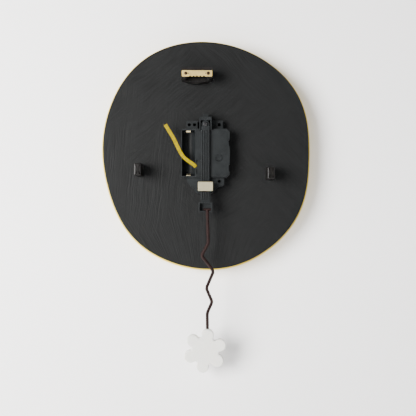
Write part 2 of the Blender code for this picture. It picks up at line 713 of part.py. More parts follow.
def add_motion_work():
    """Minute arbor with its cannon pinion, minute wheel, hour wheel and setting knob."""
    minute_phase = mesh_phase(0.0, CANNON_TEETH, MINUTE_TEETH, MINUTE_DIRECTION)
    pinion_phase = mesh_phase(0.0, HOUR_TEETH, MINUTE_PINION, MINUTE_DIRECTION)
    setting_phase = mesh_phase(minute_phase, MINUTE_TEETH, SETTING_TEETH, SETTING_DIRECTION)
    arbor_back = layer(CENTRE_LEVEL) + WHEEL_THICKNESS
    pivot_front = CASE_FLOOR - PIVOT_DEPTH + GAP / 3

    minute_arbor = arbor("minute_arbor", MINUTE_ARBOR_FRONT, arbor_back, CENTRE,
                         MINUTE_ARBOR_RADIUS, 16)
    cannon_back = layer(MINUTE_LEVEL) + WHEEL_THICKNESS - GAP / 3
    join(
        minute_arbor,
        arbor("cannon_tube", CANNON_FRONT, cannon_back, CENTRE, CANNON_RADIUS, 18),
        pinion_on("cannon_pinion", CANNON_TEETH, MOTION_MODULE, 0.0, MINUTE_LEVEL, CENTRE,
                  WHEEL_THICKNESS + 2 * GAP / 3),
    )
    cut(minute_arbor, disc("seconds_pivot_hole", ARBOR_RADIUS, layer(CENTRE_LEVEL) - GAP,
                           arbor_back + OVER, CENTRE, 12))
    piece(minute_arbor, "steel")

    minute_wheel = wheel_on("minute_wheel", MINUTE_TEETH, MOTION_MODULE, minute_phase,
                            MINUTE_LEVEL, MINUTE_SPOT)
    join(
        minute_wheel,
        pinion_on("minute_pinion", MINUTE_PINION, HOUR_MODULE, pinion_phase, HOUR_LEVEL,
                  MINUTE_SPOT, PINION_REACH),
        arbor("minute_wheel_arbor", pivot_front,
              layer(TRAIN_PLATE_LEVEL) + WHEEL_THICKNESS - GAP, MINUTE_SPOT),
    )
    piece(minute_wheel, "gear_white")

    hour_wheel = plate(
        "hour_wheel", gear_outline(HOUR_TEETH, HOUR_MODULE, 0.0), layer(HOUR_LEVEL),
        layer(HOUR_LEVEL) + WHEEL_THICKNESS, CENTRE,
    )
    pipe_back = layer(HOUR_LEVEL) + WHEEL_THICKNESS / 2
    join(hour_wheel, arbor("hour_pipe", PIPE_FRONT, pipe_back, CENTRE, HOUR_PIPE_RADIUS, 20))
    cut(hour_wheel, disc("hour_bore", HOUR_PIPE_BORE, PIPE_FRONT - OVER,
                         layer(MINUTE_LEVEL), CENTRE, 20))
    piece(hour_wheel, "gear_white")

    knob = pinion_on("setting_knob", SETTING_TEETH, MOTION_MODULE, setting_phase, MINUTE_LEVEL,
                     SETTING_SPOT, WHEEL_THICKNESS + 2 * GAP / 3)
    knob_back = BODY_BACK + KNOB_PROUD
    ridged = [
        (r * cos(pi * i / KNOB_RIDGES), r * sin(pi * i / KNOB_RIDGES))
        for i, r in enumerate((KNOB_RADIUS, KNOB_RADIUS - KNOB_RIM) * KNOB_RIDGES)
    ]
    join(
        knob,
        arbor("setting_shaft", pivot_front, knob_back - KNOB_HEIGHT / 2, SETTING_SPOT,
              SHAFT_RADIUS, 12),
        plate("knob_head", ridged, knob_back - KNOB_HEIGHT, knob_back, SETTING_SPOT),
    )
    piece(knob, "movement_black")


# Board and hanging


def board_outline(grow=0.0):
    """The pebble outline: the mean radius plus its waves, at evenly spaced angles."""
    outline = []
    for i in range(BOARD_SIDES):
        angle = 2 * pi * i / BOARD_SIDES
        radius = BOARD_RADIUS + grow
        for count, along, across in BOARD_WAVES:
            radius += along * cos(count * angle) + across * sin(count * angle)
        outline.append((BOARD_U + radius * cos(angle), BOARD_W + radius * sin(angle)))
    return outline


def add_board():
    hole = [circle(BUSH_RADIUS + GAP, 20)]
    backing = plate("backing_board", board_outline(), BACKING_FRONT, BOARD_BACK, CENTRE, hole)
    piece(backing, "board_black")
    dial = plate("dial_plate", board_outline(PLATE_RIM), PLATE_FRONT, PLATE_BACK, CENTRE, hole)
    piece(dial, "dial_yellow")


def hanger_outline():
    """A rounded strip whose lower edge has V notches; the middle notch's tip is the origin."""
    half = HANGER_WIDTH / 2
    top = rounded_rectangle(-half, half, -TOOTH_DEPTH, HANGER_TOP, HANGER_CORNER)
    teeth = []
    for i in range(NOTCH_COUNT):
        x = (i - (NOTCH_COUNT - 1) / 2) * TOOTH_PITCH
        teeth += [(x - NOTCH_HALF, -TOOTH_DEPTH), (x, 0.0), (x + NOTCH_HALF, -TOOTH_DEPTH)]
    return teeth + top


def add_hanger():
    spots = [(side * NAIL_SPREAD, NAIL_HEIGHT) for side in (1, -1)]
    spare = [(side * SPARE_HOLE_SPREAD, NAIL_HEIGHT) for side in (1, -1)]
    origin = (-AXIS_X, -AXIS_Z)
    holes = [moved(circle(NAIL_SHANK + GAP, 12), *spot) for spot in spots]
    holes += [moved(circle(SPARE_HOLE, 10), *spot) for spot in spare]
    strip = plate("sawtooth_hanger", hanger_outline(), HANGER_FRONT, HANGER_BACK, origin, holes)
    piece(strip, "brass")

    half = BLOCK_WIDTH / 2
    across = [2 * i / BLOCK_STEPS - 1 for i in range(1, BLOCK_STEPS)]
    bow = [(x * (half - HANGER_CORNER), BLOCK_BOTTOM - BLOCK_BULGE * (1 - x * x)) for x in across]
    outline = rounded_rectangle(-half, half, BLOCK_BOTTOM, BLOCK_TOP, HANGER_CORNER) + bow
    base = plate("hanger_block", outline, BOARD_BACK + GAP, BLOCK_BACK, origin)
    scoop_spot = (origin[0], origin[1] + SCOOP_TOP - SCOOP_RADIUS)
    cut(base, disc("nail_scoop", SCOOP_RADIUS, BLOCK_BACK - SCOOP_DEPTH, BLOCK_BACK + OVER,
                   scoop_spot, 40))
    for side, spot in zip(("left", "right"), spots):
        centre = (origin[0] + spot[0], origin[1] + spot[1])
        head_front = HANGER_BACK + GAP
        shank_front = head_front - NAIL_LENGTH
        cut(base, disc(f"nail_hole_{side}", NAIL_SHANK + GAP, shank_front - NAIL_SHANK - GAP,
                       BLOCK_BACK + OVER, centre, 12))
        profile = (
            (0.0, shank_front - NAIL_SHANK), (NAIL_SHANK, shank_front), (NAIL_SHANK, head_front),
            (NAIL_HEAD, head_front), (NAIL_HEAD * NAIL_DOME, head_front + NAIL_SHANK / 2),
            (0.0, head_front + NAIL_SHANK),
        )
        piece(turned(f"hanger_nail_{side}", profile, centre, 0.0, 12), "nail_brown")
    piece(base, "gloss_black")


def add_standoffs():
    for side, (u, w) in (("left", STANDOFF_LEFT), ("right", STANDOFF_RIGHT)):
        cage = bmesh.new()
        bmesh.ops.create_cube(cage, size=1.0)
        depth = STANDOFF_HEIGHT - GAP
        bmesh.ops.scale(cage, vec=(STANDOFF_WIDTH, depth, STANDOFF_TALL), verts=cage.verts)
        foot = [v for v in cage.verts if v.co.y < 0]
        bmesh.ops.scale(cage, vec=(STANDOFF_FLARE, 1.0, STANDOFF_FLARE), verts=foot)
        mesh = bpy.data.meshes.new(f"standoff_{side}")
        cage.to_mesh(mesh)
        cage.free()
        peg = place(f"standoff_{side}", mesh, (u, w), -depth / 2)
        edges = peg.modifiers.new("Edges", "BEVEL")
        edges.width = STANDOFF_CHAMFER
        edges.segments = 2
        piece(peg, "gloss_black")


# Movement housing


def cover_outline():
    """The body seen from behind: square, with cut corners and finger notches on the cover side."""
    h, c, b = BODY_HALF, BODY_CORNER, BAY_CORNER
    outline = [(h - b, -h), (h, -h + b), (h, h - b), (h - b, h), (-h + c, h), (-h, h - c)]
    for low, high in GRIP_NOTCHES:
        outline += [(-h, high), (-h + GRIP_DEPTH, high - GRIP_DEPTH),
                    (-h + GRIP_DEPTH, low + GRIP_DEPTH), (-h, low)]
    return outline + [(-h, -h + c), (-h + c, -h)]


def add_rear_cover():
    """Cover, battery bay, ears, pivot boss and the lower housing, moulded in one piece."""
    body = plate("rear_cover", cover_outline(), BODY_FRONT, BODY_BACK)
    ear_back = BODY_FRONT + EAR_DEPTH
    base_w = BODY_HALF - SKIRT_WALL
    for side, (low, high, rise) in (("left", LEFT_EAR), ("right", RIGHT_EAR)):
        outline = rounded_rectangle(low, high, base_w, BODY_HALF + rise, EAR_CORNER, 2)
        join(body, plate(f"ear_{side}", outline, BODY_FRONT, ear_back))
    funnel = [(u, -BODY_HALF - drop) for u, drop in FUNNEL_OUTLINE]
    boss = (PIVOT_U - BOSS_HALF, PIVOT_U + BOSS_HALF)
    join(
        body,
        block("boss", boss, (BODY_FRONT, BOSS_BACK), (base_w, BOSS_TOP)),
        block("nub", (PIVOT_U - NUB_HALF, PIVOT_U + NUB_HALF),
              (BODY_FRONT, BODY_FRONT + NUB_DEPTH), (BOSS_TOP - SKIRT_WALL, NUB_TOP)),
        plate("lower_housing", funnel, BODY_FRONT, LOWER_BACK),
    )
    window = (PIVOT_U - WINDOW_HALF, PIVOT_U + WINDOW_HALF)
    cut(
        body,
        block("hollow", (HOLLOW_LOW_U, HOLLOW_HIGH_U), (BODY_FRONT - OVER, COVER_INSIDE),
              (-HOLLOW_W, HOLLOW_W)),
        block("bay", (BAY_LOW_U, BAY_HIGH_U), (BAY_AXIS_Y, BODY_BACK + OVER),
              (-BAY_LENGTH / 2, BAY_LENGTH / 2)),
        bay_cradle(),
        block("window", window, (WINDOW_FLOOR, BOSS_BACK + OVER), (BODY_HALF + GAP, WINDOW_TOP)),
        block("arm_way", window, (ARM_FRONT - GAP, BOSS_BACK + OVER),
              (base_w - OVER, BODY_HALF + 2 * GAP)),
        block("ribbon_pocket", (HOLLOW_HIGH_U - POCKET_WIDTH, HOLLOW_HIGH_U),
              (POCKET_FLOOR, BODY_BACK + OVER), POCKET_W),
        block("ribbon_slot", (HOLLOW_HIGH_U - GAP, BAY_LOW_U + GAP),
              (POCKET_FLOOR, BODY_BACK + OVER), SLOT_W),
        disc("knob_recess", KNOB_RADIUS + GAP, BODY_BACK + KNOB_PROUD - KNOB_HEIGHT - GAP,
             BODY_BACK + OVER, SETTING_SPOT, 24),
        disc("shaft_way", SHAFT_RADIUS + RUNNING, COVER_INSIDE - OVER, BODY_BACK + OVER,
             SETTING_SPOT, 16),
        disc("coil_pocket", COIL_RADIUS + GAP, BODY_FRONT - OVER,
             LOWER_BACK - SKIRT_WALL, (PIVOT_U, MAGNET_W), 28),
        disc("post_hole", SCREW_SHAFT + GAP, WINDOW_FLOOR - SCREW_GRIP - GAP,
             WINDOW_FLOOR + OVER, (PIVOT_U, PIVOT_W), 16),
    )
    holes = [(u, BODY_HALF + EAR_HOLE_RISE) for u in (*LEFT_EAR_HOLES_U, RIGHT_EAR_HOLE_U)]
    holes.append((FUNNEL_HOLE[0], -BODY_HALF - FUNNEL_HOLE[1]))
    for i, spot in enumerate(holes):
        cut(body, disc(f"ear_hole_{i}", EAR_HOLE, BODY_FRONT - OVER, LOWER_BACK + OVER, spot, 16))
    for name, spot in (("centre", CENTRE), ("third", THIRD_SPOT), ("rotor", ROTOR_SPOT),
                       ("intermediate", INTERMEDIATE_SPOT)):
        cut(body, disc(f"{name}_bearing", ARBOR_RADIUS + RUNNING, COVER_INSIDE - OVER,
                       BEARING_BACK, spot, 12))
    piece(body, "movement_black")


def bay_cradle():
    """The round floor of the battery bay, as a cylinder along Z."""
    cage = bmesh.new()
    bmesh.ops.create_cone(
        cage, cap_ends=True, segments=36, radius1=CELL_RADIUS + CELL_PLAY,
        radius2=CELL_RADIUS + CELL_PLAY, depth=BAY_LENGTH,
    )
    mesh = bpy.data.meshes.new("cradle")
    cage.to_mesh(mesh)
    cage.free()
    return place("cradle", mesh, (BAY_U, 0.0), BAY_AXIS_Y)


def add_front_case():
    """The tray that closes the movement towards the board, with the bush for the hands."""
    outline = rounded_rectangle(CASE_LOW_U, CASE_HIGH_U, -CASE_W, CASE_W, CASE_SIDE, 2)
    case = plate("front_case", outline, BODY_FRONT, CASE_BACK)
    ledge = layer(TRAIN_PLATE_LEVEL) - GAP
    side, step = CASE_SIDE, CASE_SIDE + CASE_STEP
    pivot_hole = CASE_FLOOR - PIVOT_DEPTH
    join(case, disc("bush", BUSH_RADIUS, BUSH_FRONT, BODY_FRONT + CASE_WALL / 2, CENTRE, 24))
    cut(
        case,
        block("train_room", (CASE_LOW_U + side, CASE_HIGH_U - side), (ledge, CASE_BACK + OVER),
              (-CASE_W + side, CASE_W - side)),
        block("motion_room", (CASE_LOW_U + step, CASE_HIGH_U - step), (CASE_FLOOR, ledge + OVER),
              (-CASE_W + step, CASE_W - step)),
        disc("bush_bore", BUSH_BORE, BUSH_FRONT - OVER, CASE_FLOOR + OVER / 2, CENTRE, 24),
        disc("minute_pivot_hole", ARBOR_RADIUS + RUNNING, pivot_hole, CASE_FLOOR + OVER,
             MINUTE_SPOT, 12),
        disc("setting_pivot_hole", SHAFT_RADIUS + RUNNING, pivot_hole, CASE_FLOOR + OVER,
             SETTING_SPOT, 16),
    )
    piece(case, "movement_black")


def add_train_plate():
    """The middle plate between the motion work and the going train."""
    front = layer(TRAIN_PLATE_LEVEL)
    inset = CASE_SIDE + GAP
    outline = rectangle(CASE_LOW_U + inset, CASE_HIGH_U - inset, -CASE_W + inset, CASE_W - inset)
    holes = [circle(MINUTE_ARBOR_RADIUS + RUNNING, 16)]
    for spot in (THIRD_SPOT, INTERMEDIATE_SPOT, ROTOR_SPOT, MINUTE_SPOT):
        holes.append(moved(circle(ARBOR_RADIUS + RUNNING, 12), *spot))
    holes.append(moved(circle(SHAFT_RADIUS + RUNNING, 14), *SETTING_SPOT))
    shelf = plate("train_plate", outline, front, front + WHEEL_THICKNESS, CENTRE, holes)
    piece(shelf, "movement_black")


def add_fastening():
    """Gasket behind the board, washer and hexagon nut in front of the dial."""
    gasket = ring("movement_gasket", GASKET_RADIUS, BUSH_RADIUS + GAP, GASKET_FRONT,
                  GASKET_FRONT + GASKET_THICKNESS)
    piece(gasket, "gasket_rubber")
    washer = ring("dial_washer", WASHER_RADIUS, BUSH_RADIUS + GAP,
                  WASHER_BACK - WASHER_THICKNESS, WASHER_BACK)
    piece(washer, "brass")
    bore = [circle(BUSH_RADIUS + GAP, 24)]
    nut = plate("fixing_nut", circle(NUT_RADIUS, 6), NUT_BACK - NUT_THICKNESS, NUT_BACK,
                CENTRE, bore)
    piece(nut, "brass")


# Electrics


def add_motor():
    front = layer(THIRD_LEVEL)
    back = front + STATOR_THICKNESS
    low, high = STATOR_SPAN
    bottom, top = STATOR_W
    outline = [
        (low, STATOR_FOOT), (low + STATOR_LEG, STATOR_FOOT), (low + STATOR_LEG, bottom),
        (high - STATOR_LEG, bottom), (high - STATOR_LEG, STATOR_FOOT), (high, STATOR_FOOT),
        (high, top), (low, top),
    ]
    rotor_hole = moved(circle(ROTOR_MAGNET_RADIUS + 2 * GAP, 24), *ROTOR_SPOT)
    piece(plate("motor_stator", outline, front, back, CENTRE, [rotor_hole]), "steel")
    core_front = back + GAP
    core = block("coil_core", (low, high), (core_front, core_front + CORE_THICKNESS),
                 (MOTOR_COIL_W - CORE_HALF, MOTOR_COIL_W + CORE_HALF))
    piece(core, "steel")
    length = high - low - 2 * STATOR_LEG - 2 * GAP
    outer, bore, half = MOTOR_COIL_RADIUS, MOTOR_COIL_BORE, length / 2
    profile = ((bore, -half), (outer, -half), (outer, half), (bore, half), (bore, -half))
    coil = turned("motor_coil", profile, ((low + high) / 2, MOTOR_COIL_W),
                  front + MOTOR_COIL_OFFSET, 16)
    coil.rotation_euler = (0, -pi / 2, 0)
    piece(coil, "copper")


def add_electronics():
    front = layer(INTERMEDIATE_LEVEL) + WHEEL_THICKNESS + 2 * GAP
    back = front + BOARD_SHEET
    sheet = plate("circuit_board", rectangle(*BOARD_SPAN, *BOARD_REACH), front, back)
    piece(sheet, "circuit_green")
    middle = (sum(BOARD_SPAN) / 2, sum(BOARD_REACH) / 2)
    half = CHIP_SIZE / 2
    chip = block("timer_chip", (middle[0] - half, middle[0] + half),
                 (back + GAP, back + GAP + CHIP_HEIGHT), (middle[1] - half, middle[1] + half))
    piece(chip, "chip_black")
    cage = bmesh.new()
    bmesh.ops.create_cone(
        cage, cap_ends=True, segments=12, radius1=CRYSTAL_RADIUS, radius2=CRYSTAL_RADIUS,
        depth=CRYSTAL_LENGTH,
    )
    mesh = bpy.data.meshes.new("quartz_crystal")
    cage.to_mesh(mesh)
    cage.free()
    spot = (BOARD_SPAN[0] + 2 * CRYSTAL_RADIUS, BOARD_REACH[0] + CRYSTAL_LENGTH)
    piece(place("quartz_crystal", mesh, spot, front - GAP - CRYSTAL_RADIUS), "steel")


def contact(name, profile, u):
    """A bent strip of contact sheet, from its (w, y) outline, centred on u."""
    strip = plate(name, profile, -CONTACT_WIDTH / 2, CONTACT_WIDTH / 2)
    strip.location = (AXIS_X + u, 0.0, AXIS_Z)
    strip.rotation_euler = (pi / 2, 0, pi / 2)
    return strip


def add_contacts():
    """Brass plate at the top of the bay, and a bowed leaf spring at its bottom."""
    end = BAY_LENGTH / 2 - GAP
    sheet, fold = CONTACT_SHEET, CONTACT_FOLD
    floor, rim = BAY_AXIS_Y - CELL_RADIUS / 2, BODY_BACK - GAP
    plus = [(floor, end - sheet), (rim - sheet, end - sheet), (rim - sheet, end - fold),
            (rim, end - fold), (rim, end), (floor, end)]
    piece(contact("positive_contact", plus, BAY_U), "brass")
    bow = SPRING_BOW
    steps = 6
    outer, inner = [], []
    for i in range(steps + 1):
        y = floor + (rim - floor) * i / steps
        rise = bow * sin(pi * i / steps)
        outer.append((y, -end + rise))
        inner.append((y, -end + rise + sheet))
    piece(contact("negative_contact", outer + inner[::-1], BAY_U), "brass")


def add_ribbon():
    """The pull ribbon: a strip that stays face-on to the wall while its route bends."""
    points = [(AXIS_X + u, BODY_BACK + y, AXIS_Z + w) for u, y, w in RIBBON_ROUTE]
    route = smooth(points, RIBBON_STEPS)
    edges = []
    for i, point in enumerate(route):
        ahead = route[min(i + 1, len(route) - 1)] - route[max(i - 1, 0)]
        side = ahead.cross(Vector((0, 1, 0))).normalized() * RIBBON_WIDTH / 2
        edges += [tuple(point - side), tuple(point + side)]
    faces = [(2 * i, 2 * i + 1, 2 * i + 3, 2 * i + 2) for i in range(len(route) - 1)]
    mesh = bpy.data.meshes.new("battery_ribbon")
    mesh.from_pydata(edges, [], faces)
    ribbon = place("battery_ribbon", mesh)
    ribbon.location = (0, 0, 0)
    sheet = ribbon.modifiers.new("Sheet", "SOLIDIFY")
    sheet.thickness = RIBBON_SHEET
    sheet.offset = 0.0
    piece(ribbon, "ribbon_yellow")


# Hands


def hand_outline(length, tail, hub, root_half, tip_half):
    """A tapered hand pointing up, with a round hub, a shorter tail and round ends."""
    steps = 6
    outline = []
    ends = ((length, tip_half, root_half, 0.0), (tail, root_half * TAIL_TAPER, root_half, pi))
    for reach, end_half, near_half, turn in ends:
        start = asin(near_half / hub)
        near = (hub * sin(start), hub * cos(start))
        tip = [
            (end_half * cos(pi * i / steps), reach - end_half + end_half * sin(pi * i / steps))
            for i in range(steps + 1)
        ]
        side = [near, *tip, (-near[0], near[1])]
        arc = [
            (-hub * sin(start + (pi - 2 * start) * i / steps),
             hub * cos(start + (pi - 2 * start) * i / steps))
            for i in range(1, steps)
        ]
        outline += clockwise(side + arc, turn)
    return outline


def add_hands():
    hour_front = PIPE_FRONT + GAP
    hour = plate("hour_hand", clockwise(hand_outline(*HOUR_HAND), HOUR_ANGLE), hour_front,
                 hour_front + HAND_THICKNESS, CENTRE, [circle(HOUR_PIPE_RADIUS + GAP, 20)])
    piece(hour, "hand_white")
    minute_back = CANNON_FRONT - GAP
    minute = plate("minute_hand", clockwise(hand_outline(*MINUTE_HAND), MINUTE_ANGLE),
                   minute_back - HAND_THICKNESS, minute_back, CENTRE,
                   [circle(MINUTE_ARBOR_RADIUS + GAP, 16)])
    piece(minute, "hand_white")
    nut_back = minute_back - HAND_THICKNESS - GAP
    nut_front = nut_back - HAND_NUT_HEIGHT
    bore = MINUTE_ARBOR_RADIUS + GAP
    dome = [(HAND_NUT_RADIUS * r, nut_front + HAND_NUT_HEIGHT * y) for r, y in HAND_NUT_DOME]
    profile = (
        (0.0, nut_front), *dome, (HAND_NUT_RADIUS, nut_back), (bore, nut_back),
        (bore, MINUTE_ARBOR_FRONT - GAP), (0.0, MINUTE_ARBOR_FRONT - GAP),
    )
    piece(turned("hand_nut", profile, CENTRE, 0.0, 20), "hand_white")


# Pendulum


def add_pivot():
    """The screw that the arm swings on, and the bush in the arm's eye."""
    head_front = ARM_BACK + GAP
    profile = (
        (0.0, WINDOW_FLOOR - SCREW_GRIP), (SCREW_SHAFT, WINDOW_FLOOR - SCREW_GRIP),
        (SCREW_SHAFT, head_front), (SCREW_HEAD, head_front),
        (SCREW_HEAD, head_front + SCREW_HEAD_THICKNESS * SCREW_SHOULDER),
        (SCREW_HEAD * SCREW_EDGE, head_front + SCREW_HEAD_THICKNESS),
        (0.0, head_front + SCREW_HEAD_THICKNESS),
    )
    screw = turned("pivot_screw", profile, (PIVOT_U, PIVOT_W), 0.0, 20)
    slot, reach = SCREW_SLOT / 2, SCREW_HEAD * SLOT_REACH
    depth = (head_front + SCREW_HEAD_THICKNESS / 2, head_front + SCREW_HEAD_THICKNESS + OVER)
    u, w = PIVOT_U, PIVOT_W
    cut(
        screw,
        block("slot_across", (u - reach, u + reach), depth, (w - slot, w + slot)),
        block("slot_up", (u - slot, u + slot), depth, (w - reach, w + reach)),
    )
    piece(screw, "steel")
    inner = SCREW_SHAFT + RUNNING
    bush = ring("pivot_bush", inner + BUSH_WALL, inner, WINDOW_FLOOR + 2 * GAP, ARM_BACK - GAP,
                (PIVOT_U, PIVOT_W), 20)
    piece(bush, "brass")


def arm_outline():
    """The arm's flat strip: narrow down to the magnet, wider to the neck, then the hook box."""
    low = HOOK_TOP + 2 * HOOK_WALL
    half = [
        (ARM_HALF, PIVOT_W - EYE_RADIUS / 2), (ARM_HALF, ARM_STEP_W), (ARM_LOWER_HALF, ARM_STEP_W),
        (ARM_LOWER_HALF, low), (HOOK_NECK_HALF, low - HOOK_WALL / 2),
        (HOOK_NECK_HALF, HOOK_TOP - HOOK_WALL / 2),
    ]
    right = [(PIVOT_U + u, w) for u, w in half]
    left = [(PIVOT_U - u, w) for u, w in reversed(half)]
    relative = moved(left + right, -PIVOT_U, -PIVOT_W)
    return relative[::-1]


def add_arm():
    """The swinging arm, its eye on the pivot and the open box that the rod hangs in."""
    spot = (PIVOT_U, PIVOT_W)
    arm = plate("pendulum_arm", arm_outline(), ARM_FRONT, ARM_BACK, spot)
    inside = HOOK_HALF - HOOK_WALL
    eye_hole = SCREW_SHAFT + RUNNING + BUSH_WALL + GAP
    join(
        arm,
        disc("eye", EYE_RADIUS, WINDOW_FLOOR + GAP, ARM_BACK - GAP / 3, spot, 24),
        block("hook_box", (PIVOT_U - HOOK_HALF, PIVOT_U + HOOK_HALF), (ARM_FRONT - GAP / 3, HOOK_BACK),
              (HOOK_BOTTOM, HOOK_TOP)),
    )
    cut(
        arm,
        disc("eye_hole", eye_hole, WINDOW_FLOOR - OVER, ARM_BACK + OVER, spot, 20),
        block("hook_room", (PIVOT_U - inside, PIVOT_U + inside), (HOOK_FLOOR, HOOK_BACK + OVER),
              (HOOK_BOTTOM + HOOK_WALL, HOOK_TOP - HOOK_WALL)),
        block("rod_notch", (ROD_U - HOOK_NOTCH_HALF, ROD_U + HOOK_NOTCH_HALF),
              (HOOK_FLOOR, HOOK_BACK + OVER), (HOOK_BOTTOM - OVER, HOOK_BOTTOM + 2 * HOOK_WALL)),
    )
    piece(arm, "movement_black")


def add_magnet_and_coil():
    spot = (PIVOT_U, MAGNET_W)
    magnet_back = ARM_FRONT - GAP
    piece(disc("drive_magnet", MAGNET_RADIUS, magnet_back - MAGNET_THICKNESS, magnet_back, spot, 24),
          "ferrite")
    half_u, half_w = CAP_WIDTH / 2, CAP_TALL / 2
    front = ARM_BACK + GAP
    cap = block("magnet_cap", (PIVOT_U - half_u, PIVOT_U + half_u), (front, front + CAP_DEPTH),
                (MAGNET_W - half_w, MAGNET_W + half_w))
    edges = cap.modifiers.new("Edges", "BEVEL")
    edges.width = GAP
    edges.segments = 2
    piece(cap, "cap_cream")
    coil_back = LOWER_BACK - SKIRT_WALL - GAP
    coil = ring("drive_coil", COIL_RADIUS, COIL_BORE, coil_back - COIL_DEPTH, coil_back, spot, 28)
    piece(coil, "copper")


def rod_route():
    pin_z = AXIS_Z + CROSS_PIN_W
    top = (AXIS_X + ROD_U, ROD_Y, pin_z)
    route = [top, *((AXIS_X + u, ROD_Y, pin_z + z) for u, z in ROD_ROUTE)]
    end = (route[-1][0], ROD_Y, route[-1][2] - ROD_IN_BOB)
    return [*kinked(route, ROD_BEND, ROD_STEPS), Vector(end)]


def add_rod():
    """The kinked rod, with the cross pin that rests in the hook box."""
    route = rod_route()
    pin = tube("pendulum_rod", [
        (AXIS_X + ROD_U - CROSS_PIN_LENGTH / 2, ROD_Y, AXIS_Z + CROSS_PIN_W),
        (AXIS_X + ROD_U + CROSS_PIN_LENGTH / 2, ROD_Y, AXIS_Z + CROSS_PIN_W),
    ], CROSS_PIN_RADIUS)
    rod = as_mesh(pin)
    wire = as_mesh(tube("rod_wire", route, ROD_RADIUS))
    join(rod, wire)
    piece(rod, "rod_brown")
    shift = Vector((AXIS_X + ROD_U, ROD_Y, AXIS_Z + CROSS_PIN_W))
    rod.data.transform(Matrix.Translation(-shift))
    rod.location = shift


def flower_outline():
    """Six round petals: an arc over each petal's end, and a valley point between neighbours."""
    outline = []
    for petal in range(PETAL_COUNT):
        middle = PETAL_ANGLE + 2 * pi * petal / PETAL_COUNT
        x, z = PETAL_CIRCLE * cos(middle), PETAL_CIRCLE * sin(middle)
        for i in range(PETAL_SIDES + 1):
            angle = middle + PETAL_SWEEP * (2 * i / PETAL_SIDES - 1)
            outline.append((x + PETAL_RADIUS * cos(angle), z + PETAL_RADIUS * sin(angle)))
        valley = middle + pi / PETAL_COUNT
        outline.append((VALLEY_RADIUS * cos(valley), VALLEY_RADIUS * sin(valley)))
    return outline


def add_bob():
    centre = (BOB_U, BOB_Z - AXIS_Z)
    front = ROD_Y - BOB_THICKNESS / 2
    bob = plate("pendulum_bob", flower_outline(), front, front + BOB_THICKNESS, centre)
    edges = bob.modifiers.new("Edges", "BEVEL")
    edges.width = BOB_EDGE
    edges.segments = 1
    edges.limit_method = "ANGLE"
    edges.angle_limit = radians(60)
    hole_top = BOB_Z + PETAL_CIRCLE + 2 * PETAL_RADIUS
    hole_u = ROD_ROUTE[-1][0]
    hole = tube("rod_hole", [
        (AXIS_X + hole_u, ROD_Y, ROD_BOTTOM_Z - ROD_IN_BOB - GAP),
        (AXIS_X + hole_u, ROD_Y, hole_top),
    ], ROD_RADIUS + GAP)
    cut(bob, as_mesh(hole))
    piece(bob, "bob_white")


def main():
    clear_scene()
    collection(CLOCK_NAME)
    collection("Cutters")
    add_board()
    add_hanger()
    add_standoffs()
    add_fastening()
    add_rear_cover()
    add_front_case()
    add_train_plate()
    add_motor()
    add_electronics()
    add_contacts()
    add_ribbon()
    add_going_train()
    add_motion_work()
    add_hands()
    add_pivot()
    add_arm()
    add_magnet_and_coil()
    add_rod()
    add_bob()


main()
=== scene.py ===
"""Pendulum wall clock: the detailed pieces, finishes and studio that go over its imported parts.

Lengths are metres. +Z is up, the wall is the plane Y = 0 and the dial faces -Y. U and W are X and Z
counted from the hands' axis. Each operator makes one piece, or one group of like pieces.
"""

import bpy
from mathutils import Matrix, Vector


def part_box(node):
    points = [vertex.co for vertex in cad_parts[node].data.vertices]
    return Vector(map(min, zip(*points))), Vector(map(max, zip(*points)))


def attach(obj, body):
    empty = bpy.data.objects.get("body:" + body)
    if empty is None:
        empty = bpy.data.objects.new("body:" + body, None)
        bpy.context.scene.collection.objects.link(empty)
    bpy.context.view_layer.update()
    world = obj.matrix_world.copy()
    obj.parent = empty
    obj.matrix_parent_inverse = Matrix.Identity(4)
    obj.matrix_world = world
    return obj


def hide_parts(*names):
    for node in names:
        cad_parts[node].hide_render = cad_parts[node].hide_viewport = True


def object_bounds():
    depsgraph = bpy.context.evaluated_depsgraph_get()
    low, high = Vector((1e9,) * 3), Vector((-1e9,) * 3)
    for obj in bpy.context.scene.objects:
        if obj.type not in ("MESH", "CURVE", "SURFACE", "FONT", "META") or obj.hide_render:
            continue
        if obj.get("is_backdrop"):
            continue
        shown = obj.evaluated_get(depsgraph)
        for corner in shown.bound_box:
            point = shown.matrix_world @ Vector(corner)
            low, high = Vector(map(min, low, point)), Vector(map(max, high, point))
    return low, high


bl_info = {
    "name": "Pendulum Wall Clock",
    "version": (1, 0, 0),
    "blender": (4, 5, 0),
    "location": "View3D > Sidebar > Wall Clock",
    "description": "Builds the pieces, finishes and studio of a pendulum wall clock",
    "category": "Add Mesh",
}

from math import cos, pi, radians, sin

import bmesh
import bpy
import numpy as np
from bpy.props import FloatProperty, FloatVectorProperty, IntProperty, PointerProperty
from bpy.types import Operator, Panel, PropertyGroup
from mathutils import Matrix

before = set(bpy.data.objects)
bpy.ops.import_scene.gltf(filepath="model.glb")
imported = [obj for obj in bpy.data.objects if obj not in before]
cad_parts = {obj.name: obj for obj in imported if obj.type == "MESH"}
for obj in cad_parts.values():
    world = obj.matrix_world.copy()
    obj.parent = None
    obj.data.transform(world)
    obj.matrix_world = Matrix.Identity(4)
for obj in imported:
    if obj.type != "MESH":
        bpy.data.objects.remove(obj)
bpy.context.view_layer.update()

CASE, ARM, DROP = "clock_case", "pendulum_arm_set", "pendulum_drop"

# The hands' axis, and the pebble outline of the board: (count, cosine part, sine part)
AXIS_X, AXIS_Z = -0.0096, -0.0876
BOARD_U, BOARD_W = -0.0011, -0.0007
BOARD_WAVES = (
    (2, -0.0060, 0.0011),
    (3, -0.0003, 0.0007),
    (4, -0.0015, -0.0003),
    (5, 0.0006, 0.0001),
    (6, -0.0002, 0.0002),
    (7, 0.0004, 0.0001),
)
BUSH_CLEARANCE = 0.0043

